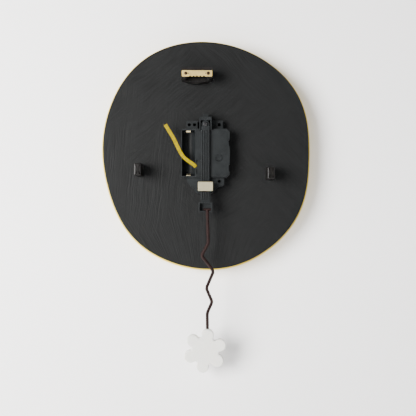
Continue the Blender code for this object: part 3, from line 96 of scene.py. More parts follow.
# The ribbon's route: U, Y and W
RIBBON_ROUTE = (
    (0.0110, -0.0115, -0.0157),
    (0.0142, -0.0109, -0.0127),
    (0.0192, -0.0102, -0.0093),
    (0.0252, -0.0097, -0.0043),
    (0.0300, -0.0096, 0.0033),
    (0.0368, -0.0100, 0.0172),
    (0.0416, -0.0107, 0.0252),
    (0.0462, -0.0117, 0.0329),
)

# The rod's route below the cross pin: U and Z from the pin
ROD_U = -0.0020
PIN_W = -0.0648
ROD_ROUTE = (
    (-0.0020, 0.0),
    (-0.0033, -0.0385),
    (0.0046, -0.0526),
    (-0.0092, -0.0707),
    (-0.0009, -0.0900),
    (-0.0077, -0.1056),
    (-0.0020, -0.1181),
    (-0.0023, -0.1364),
)
ROD_BEND = 0.0030
ROD_IN_BOB = 0.0090

# The flower's petals
PETAL_CIRCLE, PETAL_RADIUS = 0.0178, 0.0071
PETAL_ANGLE, PETAL_SWEEP = radians(39), radians(104)
PETAL_COUNT = 6


# Settings


def length_of(name, description, default, low, high):
    """A setting that is a length."""
    return FloatProperty(name=name, description=description, default=default, min=low, max=high,
                         subtype="DISTANCE", unit="LENGTH")


def color_of(name, description, default):
    """A setting that is a colour."""
    return FloatVectorProperty(name=name, description=description, default=default,
                               min=0.0, max=1.0, subtype="COLOR")


def power_of(name, description, default):
    """A setting that is a light's power."""
    return FloatProperty(name=name, description=description, default=default,
                         min=0.0, max=2000.0, unit="POWER")


class BoardSettings(PropertyGroup):
    """The black board and the yellow dial in front of it."""

    radius: length_of("Mean Radius", "Mean radius of the pebble outline", 0.1285, 0.05, 0.3)
    rim: length_of("Dial Rim", "How far the dial shows past the board", 0.0024, 0.0, 0.006)
    edge: length_of("Edge Round", "Radius of the board's worn edges", 0.0007, 0.0001, 0.003)
    paint: color_of("Board Paint", "Brushed black paint of the board", (0.0054, 0.0057, 0.0058))
    dial: color_of("Dial Paint", "Yellow paint of the dial", (0.68, 0.50, 0.035))


class MovementSettings(PropertyGroup):
    """The pendulum movement behind the board."""

    edge: length_of("Moulded Edge", "Radius of the moulding's outer edges", 0.00022, 0.00005, 0.001)
    plastic: color_of(
        "Plastic", "Black plastic of the housing and the arm", (0.0062, 0.0073, 0.0078))
    rib_count: IntProperty(
        name="Arm Ribs", description="Stiffening ribs along the arm", default=5, min=2, max=8)
    cream: color_of("Magnet Cap", "Cream plastic of the magnet cap", (0.190, 0.172, 0.105))


class PendulumSettings(PropertyGroup):
    """The rod and the flower bob."""

    rod_radius: length_of("Rod Radius", "Outer radius of the twisted wire", 0.0019, 0.0005, 0.004)
    strands: IntProperty(
        name="Strands", description="Wires twisted into the rod", default=3, min=2, max=6)
    lay: length_of("Twist Length", "Length of one whole turn of the twist", 0.0105, 0.003, 0.05)
    bob_edge: length_of("Petal Edge", "Radius of the flower's rounded edge", 0.0013, 0.0002, 0.004)
    wire: color_of("Rod Colour", "Dark brown of the rod", (0.0110, 0.0058, 0.0054))
    white: color_of("Bob Colour", "White of the flower", (0.56, 0.56, 0.53))


class RibbonSettings(PropertyGroup):
    """The pull ribbon of the battery bay."""

    width: length_of("Width", "Width of the ribbon", 0.0042, 0.002, 0.01)
    sheet: length_of("Thickness", "Thickness of the ribbon between its ribs", 0.0003, 0.0001, 0.001)
    rib: length_of("Rib Pitch", "Distance from one cross rib to the next", 0.0008, 0.0003, 0.003)
    yarn: color_of("Yarn", "Yellow of the ribbon", (0.200, 0.150, 0.0))


class FrontSettings(PropertyGroup):
    """Numerals, minute marks and hands."""

    numeral_height: length_of("Numeral Height", "Height of the hour numerals", 0.0165, 0.005, 0.04)
    numeral_circle: length_of(
        "Numeral Circle", "Radius of the circle through the numerals", 0.0930, 0.03, 0.2)
    minute_circle: length_of(
        "Minute Circle", "Radius of the circle of minute marks", 0.1100, 0.03, 0.2)
    hand_paint: color_of("Hand Paint", "White lacquer of the hands", (0.56, 0.55, 0.52))
    ink: color_of("Numeral Paint", "Dark paint of the numerals and marks", (0.0080, 0.0074, 0.0070))


class StudioSettings(PropertyGroup):
    """Camera, lights, backdrop and floor."""

    camera: FloatVectorProperty(
        name="Camera", description="Where the camera stands",
        default=(-0.0125, 0.7890, -0.1507), subtype="TRANSLATION", unit="LENGTH")
    lens: FloatProperty(
        name="Lens", description="Focal length in millimetres", default=60.2, min=20, max=200)
    key: power_of("Key Light", "Power of the large soft light on the hanger's left", 86.0)
    fill: power_of("Fill Light", "Power of the light that softens the shadows", 6.0)
    dial_light: power_of("Dial Light", "Power of each light on the dial's side", 20.0)
    sky: FloatProperty(
        name="Room Light", description="Strength of the pale light from all round",
        default=0.56, min=0.0, max=5.0)
    backdrop_y: FloatProperty(
        name="Backdrop", description="Depth of the pale backdrop in front of the hands",
        default=-0.0560, subtype="DISTANCE", unit="LENGTH")
    floor_z: FloatProperty(
        name="Floor", description="Height of the pale floor",
        default=-0.60, subtype="DISTANCE", unit="LENGTH")
    cove: length_of(
        "Cove", "Radius of the bend between the backdrop and the floor", 0.40, 0.05, 2.0)
    pale: color_of("Pale Paint", "Colour of the floor and the backdrop", (0.80, 0.795, 0.795))


class ClockSettings(PropertyGroup):
    """Every size and colour of the clock that a user would change."""

    board: PointerProperty(type=BoardSettings, name="Board", description="Board and dial")
    movement: PointerProperty(type=MovementSettings, name="Movement", description="Movement")
    pendulum: PointerProperty(type=PendulumSettings, name="Pendulum", description="Pendulum")
    ribbon: PointerProperty(type=RibbonSettings, name="Ribbon", description="Battery ribbon")
    front: PointerProperty(type=FrontSettings, name="Front", description="Numerals and hands")
    studio: PointerProperty(type=StudioSettings, name="Studio", description="Camera and light")


# Surfaces: every function returns (points, faces) as numpy arrays or lists of them


def lofted(rows, ends="fans"):
    """Rings of points skinned into one closed surface: point j of ring i is joined by quads to the
    next point round and to the next ring. Ends are closed by fans to each end ring's middle, or the
    last ring is joined back to the first."""
    rows = np.asarray(rows, float)
    count, around = rows.shape[:2]
    points = rows.reshape(-1, 3)
    spans = count if ends == "loop" else count - 1
    near = np.arange(spans)[:, None] * around
    far = ((np.arange(spans) + 1) % count)[:, None] * around
    j = np.arange(around)[None, :]
    k = (j + 1) % around
    quads = np.stack([near + j, near + k, far + k, far + j], -1).reshape(-1, 4)
    faces = quads.tolist()
    if ends == "fans":
        middles = np.stack([rows[0].mean(0), rows[-1].mean(0)])
        first, last = count * around, count * around + 1
        j, k = j[0], k[0]
        base = (count - 1) * around
        start_fan = np.stack([np.full(around, first), k, j], -1)
        end_fan = np.stack([np.full(around, last), base + j, base + k], -1)
        points = np.concatenate([points, middles])
        faces += start_fan.tolist() + end_fan.tolist()
    return points, faces


def joined(parts):
    """Several surfaces laid one after another in one mesh."""
    points, faces, start = [], [], 0
    for part_points, part_faces in parts:
        points.append(part_points)
        faces += [[start + i for i in face] for face in part_faces]
        start += len(part_points)
    return np.concatenate(points), faces


def outward(outline):
    """Unit normals of a closed anticlockwise outline: the chord through each point's neighbours,
    turned a quarter turn clockwise."""
    chord = np.roll(outline, -1, 0) - np.roll(outline, 1, 0)
    normal = np.stack([chord[:, 1], -chord[:, 0]], -1)
    return normal / np.linalg.norm(normal, axis=1, keepdims=True)


def rounded_slab(outline, front, back, edge, hole=None, flare=1.0, steps=5):
    """A flat slab between two depths whose rim is two quarter rounds: at angle a the outline is
    drawn in by edge times (1 - sin a) while the depth falls short of the face by edge times
    (1 - cos a). flare scales the outline about its middle at the front. hole is the radius of a
    round hole about the outline's origin."""
    outline = np.asarray(outline, float)
    normal, middle = outward(outline), outline.mean(0)
    a = np.linspace(0.0, pi / 2, steps + 1)
    inset = np.concatenate([[2 * edge], edge * (1 - np.sin(a))])
    depth = np.concatenate([[0.0], edge * (1 - np.cos(a))])
    inset = np.concatenate([inset, inset[::-1]])
    y = np.concatenate([back - depth, (front + depth)[::-1]])
    scale = 1 + (flare - 1) * (back - y) / (back - front)
    flat = outline[None] - inset[:, None, None] * normal[None]
    flat = middle + (flat - middle) * scale[:, None, None]
    rows = np.stack([flat[..., 0], np.broadcast_to(y[:, None], flat.shape[:2]), flat[..., 1]], -1)
    if hole is None:
        return lofted(rows)
    angle = np.arctan2(outline[:, 1], outline[:, 0])
    rim = hole * np.stack([np.cos(angle), np.zeros_like(angle), np.sin(angle)], -1)
    back_rim, front_rim = rim + (0, back, 0), rim + (0, front, 0)
    return lofted(np.concatenate([back_rim[None], rows, front_rim[None]]), "loop")


def turned(profile, sides=64):
    """A profile of (radius, y) points carried round an axis along Y: x is the radius times the
    cosine and z the radius times the sine of the angle."""
    profile = np.asarray(profile, float)
    angle = np.linspace(0, 2 * pi, sides, endpoint=False)
    radius, y = profile[:, :1], np.broadcast_to(profile[:, 1:], (len(profile), sides))
    return np.stack([radius * np.cos(angle), y, radius * np.sin(angle)], -1)


def catmull_rom(points, steps):
    """A curve through the points: on each span the cubic blend of the four nearest points whose
    slope at each point is half the step between its neighbours."""
    p = np.asarray(points, float)
    p = np.concatenate([2 * p[:1] - p[1:2], p, 2 * p[-1:] - p[-2:-1]])
    a, b, c, d = (p[i:len(p) - 3 + i, None] for i in range(4))
    t = np.linspace(0, 1, steps, endpoint=False)[None, :, None]
    curve = 0.5 * (2 * b + (c - a) * t + (2 * a - 5 * b + 4 * c - d) * t**2
                   + (3 * b - a - 3 * c + d) * t**3)
    return np.concatenate([curve.reshape(-1, p.shape[1]), p[-2:-1]])


def kinked(points, reach, steps):
    """Straight runs between the points. Each bend is the quadratic curve from one reach before the
    point to one reach after it, which leans towards the point."""
    p = np.asarray(points, float)
    back, ahead = p[:-2] - p[1:-1], p[2:] - p[1:-1]
    start = p[1:-1] + reach * back / np.linalg.norm(back, axis=1, keepdims=True)
    end = p[1:-1] + reach * ahead / np.linalg.norm(ahead, axis=1, keepdims=True)
    t = np.linspace(0, 1, steps)[None, :, None]
    bends = start[:, None] * (1 - t)**2 + 2 * p[1:-1, None] * t * (1 - t) + end[:, None] * t**2
    return np.concatenate([p[:1], bends.reshape(-1, p.shape[1]), p[-1:]])


def evenly(curve, step):
    """The curve sampled again at equal distances along its length, with that distance at each."""
    along = np.concatenate([[0], np.cumsum(np.linalg.norm(np.diff(curve, axis=0), axis=1))])
    at = np.linspace(0, along[-1], max(2, int(round(along[-1] / step))) + 1)
    return np.stack([np.interp(at, along, curve[:, i]) for i in range(curve.shape[1])], -1), at


def side_vectors(route):
    """Along a route, the unit vector across it that lies square to Y, and the one square to both."""
    ahead = np.gradient(route, axis=0)
    ahead /= np.linalg.norm(ahead, axis=1, keepdims=True)
    side = np.cross(ahead, (0, 1, 0))
    side /= np.linalg.norm(side, axis=1, keepdims=True)
    return side, np.cross(side, ahead)


def rounded_rectangle(width, tall, radius, steps=5):
    """Four quarter rounds about a rectangle's corners, anticlockwise."""
    a = np.linspace(0, pi / 2, steps + 1)
    x, z = width / 2 - radius, tall / 2 - radius
    corners = [(x, -z, -pi / 2), (x, z, 0.0), (-x, z, pi / 2), (-x, -z, pi)]
    return np.concatenate([
        np.stack([cx + radius * np.cos(a + start), cz + radius * np.sin(a + start)], -1)
        for cx, cz, start in corners
    ])


def pebble(radius, grow=0.0, sides=360):
    """The board's outline: the mean radius plus its waves, each a cosine and a sine part of a whole
    number of swings in one turn."""
    angle = np.linspace(0, 2 * pi, sides, endpoint=False)
    reach = radius + grow + sum(
        along * np.cos(n * angle) + across * np.sin(n * angle) for n, along, across in BOARD_WAVES
    )
    return np.stack([BOARD_U + reach * np.cos(angle), BOARD_W + reach * np.sin(angle)], -1)


def flower(sides=22, valley_sides=10):
    """Six petals, each an arc about a point of the petal circle, joined by hollow arcs whose centre
    lies on the line between two petals and which meet the petals without a corner."""
    half = pi / PETAL_COUNT
    a = np.linspace(-PETAL_SWEEP, PETAL_SWEEP, sides)
    petal = np.stack([PETAL_CIRCLE + PETAL_RADIUS * np.cos(a), PETAL_RADIUS * np.sin(a)], -1)
    end, lean = petal[-1], PETAL_SWEEP - half
    fillet = abs(end[0] * sin(half) - end[1] * cos(half)) / sin(lean)
    centre = end + fillet * np.array([cos(PETAL_SWEEP), sin(PETAL_SWEEP)])
    b = np.linspace(half - pi + lean, half - pi - lean, valley_sides + 2)[1:-1]
    valley = centre + fillet * np.stack([np.cos(b), np.sin(b)], -1)
    sector = np.concatenate([petal, valley])
    turns = PETAL_ANGLE + 2 * half * np.arange(PETAL_COUNT)
    c, s = np.cos(turns)[:, None], np.sin(turns)[:, None]
    x = c * sector[:, 0] - s * sector[:, 1]
    z = s * sector[:, 0] + c * sector[:, 1]
    return np.stack([x.ravel(), z.ravel()], -1)


# Objects


def linked(name, data):
    """A new object in the scene, at the origin."""
    obj = bpy.data.objects.new(name, data)
    bpy.context.scene.collection.objects.link(obj)
    return obj


def middle_of(node_name):
    """The middle of a CAD node's box, at the depth of the wall."""
    low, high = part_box(node_name)
    return (low.x + high.x) / 2, 0.0, (low.z + high.z) / 2


def tidy(mesh, flat_angle=None):
    """Merges doubles, melts triangles that share a plane, and turns every face outwards."""
    cage = bmesh.new()
    cage.from_mesh(mesh)
    bmesh.ops.remove_doubles(cage, verts=cage.verts, dist=1e-6)
    if flat_angle:
        bmesh.ops.dissolve_limit(
            cage, angle_limit=flat_angle, verts=cage.verts, edges=cage.edges
        )
    bmesh.ops.recalc_face_normals(cage, faces=cage.faces)
    cage.to_mesh(mesh)
    cage.free()


def made(name, surface, shift=(0.0, 0.0, 0.0), crease=35):
    """A new object at the origin whose mesh holds the surface, moved by shift."""
    points, faces = surface
    mesh = bpy.data.meshes.new(name)
    mesh.from_pydata((np.asarray(points) + shift).tolist(), [], faces)
    tidy(mesh)
    mesh.shade_smooth()
    mesh.set_sharp_from_angle(angle=radians(crease))
    return linked(name, mesh)


def bevelled(name, node_name, width, look, body, slot, segments=2, angle=28):
    """A merged copy of a CAD node's mesh with its edges rounded, which stands for that node."""
    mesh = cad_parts[node_name].data.copy()
    mesh.name = name
    tidy(mesh, radians(1))
    mesh.shade_smooth()
    obj = linked(name, mesh)
    edges = obj.modifiers.new("Rounded Edges", "BEVEL")
    edges.width = width
    edges.segments = segments
    edges.limit_method = "ANGLE"
    edges.angle_limit = radians(angle)
    edges.use_clamp_overlap = True
    flat = obj.modifiers.new("Flat Faces", "WEIGHTED_NORMAL")
    flat.keep_sharp = True
    return dressed(obj, look, body, slot, node_name)


def dressed(obj, look, body, slot, *nodes):
    """Gives a piece its finish and its body, and hides the CAD nodes it stands for. slot is not used.
    """
    obj.data.materials.clear()
    obj.data.materials.append(look)
    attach(obj, body)
    if nodes:
        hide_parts(*nodes)
    return obj


def painted(look, *nodes):
    """Gives CAD nodes that keep their own shape a new finish."""
    for node_name in nodes:
        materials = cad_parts[node_name].data.materials
        materials.clear()
        materials.append(look)


# Shader building


def fill(tree, made_node, inputs):
    """Sets a node's inputs, each to a value or to the socket that feeds it."""
    for key, value in inputs.items():
        if isinstance(value, bpy.types.NodeSocket):
            tree.links.new(value, made_node.inputs[key])
        else:
            made_node.inputs[key].default_value = value


def node(tree, kind, inputs=None, **settings):
    """A node with its settings and its inputs."""
    made_node = tree.nodes.new(kind)
    for key, value in settings.items():
        setattr(made_node, key, value)
    fill(tree, made_node, inputs or {})
    return made_node


def ramp(tree, value, low, high):
    """The value stretched so that low becomes 0 and high becomes 1."""
    return node(tree, "ShaderNodeMapRange", {
        "Value": value, "From Min": low, "From Max": high,
    }).outputs["Result"]


def math(tree, operation, a, b=0.0):
    """The result of one step of arithmetic on two values."""
    return node(tree, "ShaderNodeMath", {0: a, 1: b}, operation=operation).outputs[0]


def vector_math(tree, operation, a, b):
    """The result of one step of arithmetic on two vectors."""
    return node(tree, "ShaderNodeVectorMath", {0: a, 1: b}, operation=operation).outputs[0]


def noise(tree, vector, scale, detail=3.0, roughness=0.55):
    """A smooth random value at each place."""
    return node(tree, "ShaderNodeTexNoise", {
        "Vector": vector, "Scale": scale, "Detail": detail, "Roughness": roughness,
    }).outputs["Fac"]


def mixed(tree, factor, low, high):
    """A value that runs from low to high with the factor."""
    return node(tree, "ShaderNodeMix", {"Factor": factor, "A": low, "B": high}).outputs[0]


def between(tree, factor, low, high):
    """A colour that runs from low to high with the factor."""
    ends = {6 + i: color if isinstance(color, bpy.types.NodeSocket) else (*color, 1.0)
            for i, color in enumerate((low, high))}
    mix = node(tree, "ShaderNodeMix", {"Factor": factor, **ends}, data_type="RGBA")
    return mix.outputs[2]


def shades(color, factor):
    """The colour made darker or lighter by a factor."""
    return tuple(min(1.0, channel * factor) for channel in color)


def new_group(name, inputs, outputs):
    """An empty shader group with named inputs and outputs; returns it, the sockets that hold its
    inputs, and the node that takes its outputs."""
    tree = bpy.data.node_groups.new(name, "ShaderNodeTree")
    for socket, kind, default in inputs:
        made_socket = tree.interface.new_socket(socket, in_out="INPUT", socket_type=kind)
        if default is not None:
            made_socket.default_value = default
    for socket, kind in outputs:
        tree.interface.new_socket(socket, in_out="OUTPUT", socket_type=kind)
    return tree, tree.nodes.new("NodeGroupInput").outputs, tree.nodes.new("NodeGroupOutput")


VECTOR, FLOAT = "NodeSocketVector", "NodeSocketFloat"


def brush_strokes_group():
    """Long streaks left by a brush: noise stretched along a direction turned about Y, on a
    position that a slower noise bends a little."""
    tree, given, end = new_group(
        "Brush Strokes",
        [("Vector", VECTOR, None), ("Angle", FLOAT, 0.0), ("Width", FLOAT, 0.001),
         ("Length", FLOAT, 0.03), ("Wander", FLOAT, 0.003), ("Seed", FLOAT, 0.0)],
        [("Streak", FLOAT)],
    )
    drift = node(tree, "ShaderNodeTexNoise", {"Vector": given["Vector"], "Scale": 22.0})
    drift = node(tree, "ShaderNodeVectorMath",
                 {0: drift.outputs["Color"], "Scale": given["Wander"]},
                 operation="SCALE").outputs[0]
    bent = vector_math(tree, "ADD", given["Vector"], drift)
    turned_by = node(tree, "ShaderNodeVectorRotate",
                     {"Vector": bent, "Angle": given["Angle"]}, rotation_type="Y_AXIS")
    stretch = node(tree, "ShaderNodeCombineXYZ", {
        "X": math(tree, "DIVIDE", 1.0, given["Width"]),
        "Y": 100.0,
        "Z": math(tree, "DIVIDE", 1.0, given["Length"]),
    })
    stretched = vector_math(tree, "MULTIPLY", turned_by.outputs[0], stretch.outputs[0])
    seeded = vector_math(tree, "ADD", stretched, node(tree, "ShaderNodeCombineXYZ", {
        "X": given["Seed"], "Y": given["Seed"], "Z": 0.0}).outputs[0])
    streak = ramp(tree, noise(tree, seeded, 1.0, 4.0, 0.6), 0.30, 0.72)
    tree.links.new(streak, end.inputs["Streak"])
    return tree


def moulded_grain_group():
    """The fine spark grain of a moulding tool with a slow unevenness under it."""
    tree, given, end = new_group(
        "Moulded Grain",
        [("Vector", VECTOR, None), ("Grain Size", FLOAT, 0.0004), ("Patch Size", FLOAT, 0.012)],
        [("Grain", FLOAT), ("Patches", FLOAT)],
    )
    fine = noise(tree, given["Vector"],
                 math(tree, "DIVIDE", 1.0, given["Grain Size"]), 2.0, 0.7)
    slow = noise(tree, given["Vector"],
                 math(tree, "DIVIDE", 1.0, given["Patch Size"]), 4.0, 0.6)
    tree.links.new(fine, end.inputs["Grain"])
    tree.links.new(ramp(tree, slow, 0.35, 0.68), end.inputs["Patches"])
    return tree


def dust_group():
    """Specks of dust: the middles of a cell pattern that a slower noise lets through in places."""
    tree, given, end = new_group(
        "Dust",
        [("Vector", VECTOR, None), ("Spacing", FLOAT, 0.004), ("Amount", FLOAT, 0.5)],
        [("Mask", FLOAT)],
    )
    cells = node(tree, "ShaderNodeTexVoronoi", {
        "Vector": given["Vector"],
        "Scale": math(tree, "DIVIDE", 1.0, given["Spacing"]),
    })
    speck = ramp(tree, cells.outputs["Distance"], 0.14, 0.05)
    where = ramp(tree, noise(tree, given["Vector"], 60.0, 3.0), 0.52, 0.64)
    shown = math(tree, "MULTIPLY", math(tree, "MULTIPLY", speck, where), given["Amount"])
    tree.links.new(shown, end.inputs["Mask"])
    return tree


def scratches_group():
    """Hairline scratches: thin bands of two stretched noises that cross each other."""
    tree, given, end = new_group(
        "Scratches",
        [("Vector", VECTOR, None), ("Spacing", FLOAT, 0.003), ("Amount", FLOAT, 0.5)],
        [("Mask", FLOAT)],
    )
    scale = math(tree, "DIVIDE", 1.0, given["Spacing"])
    masks = []
    for angle in (0.6, -0.9):
        turned_by = node(tree, "ShaderNodeVectorRotate",
                         {"Vector": given["Vector"], "Angle": angle},
                         rotation_type="Y_AXIS")
        long = vector_math(tree, "MULTIPLY", turned_by.outputs[0], (1.0, 1.0, 0.08))
        line = math(tree, "ABSOLUTE", math(tree, "SUBTRACT", noise(tree, long, scale, 1.0), 0.5))
        masks.append(ramp(tree, line, 0.012, 0.002))
    both = math(tree, "MAXIMUM", masks[0], masks[1])
    tree.links.new(math(tree, "MULTIPLY", both, given["Amount"]), end.inputs["Mask"])
    return tree


def turned_rings_group():
    """Fine rings left by turning: a wave of the distance from the piece's own axis along Y."""
    tree, given, end = new_group(
        "Turned Rings",
        [("Vector", VECTOR, None), ("Pitch", FLOAT, 0.0003)],
        [("Rings", FLOAT)],
    )
    flat = vector_math(tree, "MULTIPLY", given["Vector"], (1.0, 0.0, 1.0))
    distance = node(tree, "ShaderNodeVectorMath", {0: flat}, operation="LENGTH").outputs["Value"]
    uneven = math(tree, "MULTIPLY", noise(tree, given["Vector"], 900.0), 0.0002)
    phase = math(tree, "DIVIDE", math(tree, "ADD", distance, uneven), given["Pitch"])
    wave = math(tree, "SINE", math(tree, "MULTIPLY", phase, 2 * pi))
    tree.links.new(ramp(tree, wave, -1.0, 1.0), end.inputs["Rings"])
    return tree


GROUPS = {
    "Brush Strokes": brush_strokes_group,
    "Moulded Grain": moulded_grain_group,
    "Dust": dust_group,
    "Scratches": scratches_group,
    "Turned Rings": turned_rings_group,
}


def effect(tree, name, **inputs):
    """Places a shared effect group in a material with its own values."""
    group = bpy.data.node_groups.get(name) or GROUPS[name]()
    placed = node(tree, "ShaderNodeGroup", node_tree=group)
    fill(tree, placed, {key.replace("_", " ").title(): value for key, value in inputs.items()})
    return placed


def finish(name, roughness, metallic=0.0, **constants):
    """A new material; returns it, its tree, its shader and the Object coordinates."""
    material = bpy.data.materials.new(name)
    material.use_nodes = True
    tree = material.node_tree
    shader = tree.nodes["Principled BSDF"]
    shader.inputs["Roughness"].default_value = roughness
    shader.inputs["Metallic"].default_value = metallic
    for key, value in constants.items():
        shader.inputs[key.replace("_", " ").replace("Ior", "IOR")].default_value = value
    coords = tree.nodes.new("ShaderNodeTexCoord").outputs["Object"]
    return material, tree, shader, coords


def centred(tree, coords, x, y, z):
    """Object coordinates counted from a point of the clock."""
    return node(tree, "ShaderNodeMapping", {"Vector": coords, "Location": (-x, -y, -z)}).outputs[0]


def raised(tree, shader, height, distance, strength=1.0):
    """Feeds a height to the shader's normal."""
    bump = node(tree, "ShaderNodeBump",
                {"Height": height, "Distance": distance, "Strength": strength})
    tree.links.new(bump.outputs["Normal"], shader.inputs["Normal"])


def feed(tree, shader, **sockets):
    """Links sockets to the shader's inputs of the same names."""
    for key, socket in sockets.items():
        tree.links.new(socket, shader.inputs[key.replace("_", " ")])


def surfaced(tree, shader, color, roughness, height, distance, strength=0.5):
    """Feeds the shader its colour and its roughness, and a height as its normal."""
    feed(tree, shader, Base_Color=color, Roughness=roughness)
    raised(tree, shader, height, distance, strength)


# Finishes


# Brush strokes: angle, width, length, wander and seed
STROKES = (
    (0.10, 0.0013, 0.050, 0.010, 0.0),
    (-0.75, 0.0013, 0.040, 0.016, 7.3),
    (0.85, 0.0015, 0.036, 0.014, 13.1),
)
FAN_DROP = 0.22  # how far below the hands' axis the fan's strokes meet


def brushed_black_paint(color):
    """Black paint laid on by hand: upright strokes at the upper left, slanting ones elsewhere and a
    fan of strokes towards the bottom."""
    material, tree, shader, coords = finish("brushed_black_paint", 0.6, Specular_Ior_Level=0.075)
    upright, slanting, steep = (
        effect(tree, "Brush Strokes", vector=coords, angle=angle, width=width, length=length,
               wander=wander, seed=seed).outputs[0]
        for angle, width, length, wander, seed in STROKES
    )
    fan_place = centred(tree, coords, AXIS_X, 0.0, AXIS_Z - FAN_DROP)
    split = node(tree, "ShaderNodeSeparateXYZ", {"Vector": fan_place})
    around = math(tree, "ARCTAN2", split.outputs["X"], split.outputs["Z"])
    fan_at = node(tree, "ShaderNodeCombineXYZ", {
        "X": math(tree, "MULTIPLY", around, 90.0), "Y": 0.0,
        "Z": math(tree, "MULTIPLY", split.outputs["Z"], 22.0)}).outputs[0]
    fan = ramp(tree, noise(tree, fan_at, 1.0, 4.0, 0.6), 0.30, 0.72)
    place_of = node(tree, "ShaderNodeSeparateXYZ", {"Vector": coords})
    patch = noise(tree, coords, 16.0, 2.0)
    from_left = math(tree, "ADD", math(tree, "MULTIPLY", place_of.outputs["X"], 9.0), patch)
    strokes = mixed(tree, ramp(tree, from_left, 0.35, 0.75), slanting, upright)
    other = ramp(tree, noise(tree, coords, 11.0, 1.0), 0.47, 0.55)
    strokes = mixed(tree, other, strokes, steep)
    low = math(tree, "ADD", math(tree, "MULTIPLY", place_of.outputs["Z"], 9.0), patch)
    strokes = mixed(tree, ramp(tree, low, -0.85, -1.15), strokes, fan)
    calm = math(tree, "MULTIPLY", ramp(tree, place_of.outputs["X"], 0.010, -0.070), 0.60)
    strokes = mixed(tree, calm, strokes, 0.5)
    dust = effect(tree, "Dust", vector=coords, spacing=0.020, amount=0.10).outputs[0]
    tone = between(tree, strokes, shades(color, 0.55), shades(color, 1.55))
    surfaced(tree, shader, between(tree, dust, tone, (0.050, 0.050, 0.048)),
             mixed(tree, strokes, 0.46, 0.66), strokes, 0.00026, 0.85)
    return material


def grained(name, tones, gloss, grain, depth, strength=0.5, marks=(), **constants):
    """Paint, plastic or rubber whose tone and roughness drift from their first value to their
    second in patches, under a fine grain. grain holds the size of the grain and of the patches, and
    depth its relief. Each mark is an effect with its spacing, its amount and its colour."""
    material, tree, shader, coords = finish(name, sum(gloss) / 2, **constants)
    surface = effect(tree, "Moulded Grain", vector=coords, grain_size=grain[0], patch_size=grain[1])
    patches = surface.outputs["Patches"]
    tone = between(tree, patches, *tones)
    for kind, spacing, amount, color in marks:
        mask = effect(tree, kind, vector=coords, spacing=spacing, amount=amount).outputs[0]
        tone = between(tree, mask, tone, color)
    surfaced(tree, shader, tone,
             mixed(tree, patches, *gloss), surface.outputs["Grain"], depth, strength)
    return material


def yellow_paint(color):
    """Satin yellow paint with a soft orange-peel surface and the rub of handling."""
    rub = ("Scratches", 0.010, 0.35, shades(color, 1.15))
    return grained("yellow_paint", (shades(color, 0.95), color), (0.30, 0.42), (0.0016, 0.030),
                   0.00004, marks=[rub], Coat_Roughness=0.2)


def gloss_lacquer():
    """Glossy brown-black lacquer with the faint waves of dipping and a little dust."""
    dust = ("Dust", 0.0030, 0.15, (0.030, 0.028, 0.026))
    return grained("gloss_lacquer", ((0.0022, 0.0019, 0.0018), (0.0042, 0.0035, 0.0032)),
                   (0.30, 0.42), (0.0022, 0.009), 0.00005, 0.4, [dust],
                   Specular_Ior_Level=0.16, Coat_Weight=0.04, Coat_Roughness=0.15)


def moulded_black(color):
    """Satin black moulded plastic: spark grain, soft patches, hairlines and dust."""
    hair = ("Scratches", 0.0045, 0.18, shades(color, 2.2))
    dust = ("Dust", 0.0034, 0.25, (0.040, 0.040, 0.038))
    return grained("moulded_black", (shades(color, 0.80), shades(color, 1.25)), (0.44, 0.60),
                   (0.00035, 0.010), 0.00003, 0.45, [hair, dust], Specular_Ior_Level=0.10)


def cream_plastic(color):
    """Cream moulded plastic, a little darker where it has yellowed."""
    dust = ("Dust", 0.0024, 0.30, shades(color, 0.6))
    return grained("cream_plastic", (shades(color, 0.92), shades(color, 1.05)), (0.38, 0.52),
                   (0.0004, 0.006), 0.00003, marks=[dust],
                   Subsurface_Weight=0.04, Subsurface_Scale=0.002)


def matt_white(name, color, roughness=0.55):
    """White paint or resin: fine grain, and patches a shade cooler and warmer."""
    warm = (color[0], color[1] * 0.992, color[2] * 0.970)
    hair = ("Scratches", 0.006, 0.25, shades(color, 0.90))
    return grained(name, (shades(color, 0.975), warm), (roughness * 0.88, roughness * 1.12),
                   (0.0007, 0.012), 0.00005, marks=[hair],
                   Subsurface_Weight=0.06, Subsurface_Scale=0.003)


def plain_dark(name, low, high, roughness, grain_size, depth):
    """Dark rubber, epoxy, ferrite or ink: two close tones, uneven gloss and a fine grain."""
    return grained(name, (low, high), (roughness * 0.85, roughness * 1.15), (grain_size, 0.005),
                   depth, 0.6)


def metal(name, color, dull, roughness, streak_angle=pi / 2):
    """Rolled metal sheet or wire: streaks along the rolling, dull patches and hairlines."""
    material, tree, shader, coords = finish(name, roughness, 1.0)
    streak = effect(tree, "Brush Strokes", vector=coords, angle=streak_angle, width=0.00025,
                    length=0.012, wander=0.0003, seed=3.0).outputs[0]
    grain = effect(tree, "Moulded Grain", vector=coords, grain_size=0.0006, patch_size=0.005)
    hair = effect(tree, "Scratches", vector=coords, spacing=0.0030, amount=0.6).outputs[0]
    tone = between(tree, grain.outputs["Patches"], color, dull)
    surfaced(tree, shader, between(tree, hair, tone, shades(color, 1.2)),
             mixed(tree, streak, roughness * 0.75, roughness * 1.35), streak, 0.00003, 0.5)
    return material


def turned_metal(name, color, dull, roughness, centre):
    """Metal turned about an axis along Y through a centre, with its fine rings."""
    material, tree, shader, coords = finish(name, roughness, 1.0)
    own = centred(tree, coords, *centre)
    rings = effect(tree, "Turned Rings", vector=own, pitch=0.00022).outputs[0]
    grain = effect(tree, "Moulded Grain", vector=coords, grain_size=0.0007, patch_size=0.004)
    surfaced(tree, shader, between(tree, grain.outputs["Patches"], color, dull),
             mixed(tree, rings, roughness * 0.8, roughness * 1.3), rings, 0.00002, 0.5)
    return material


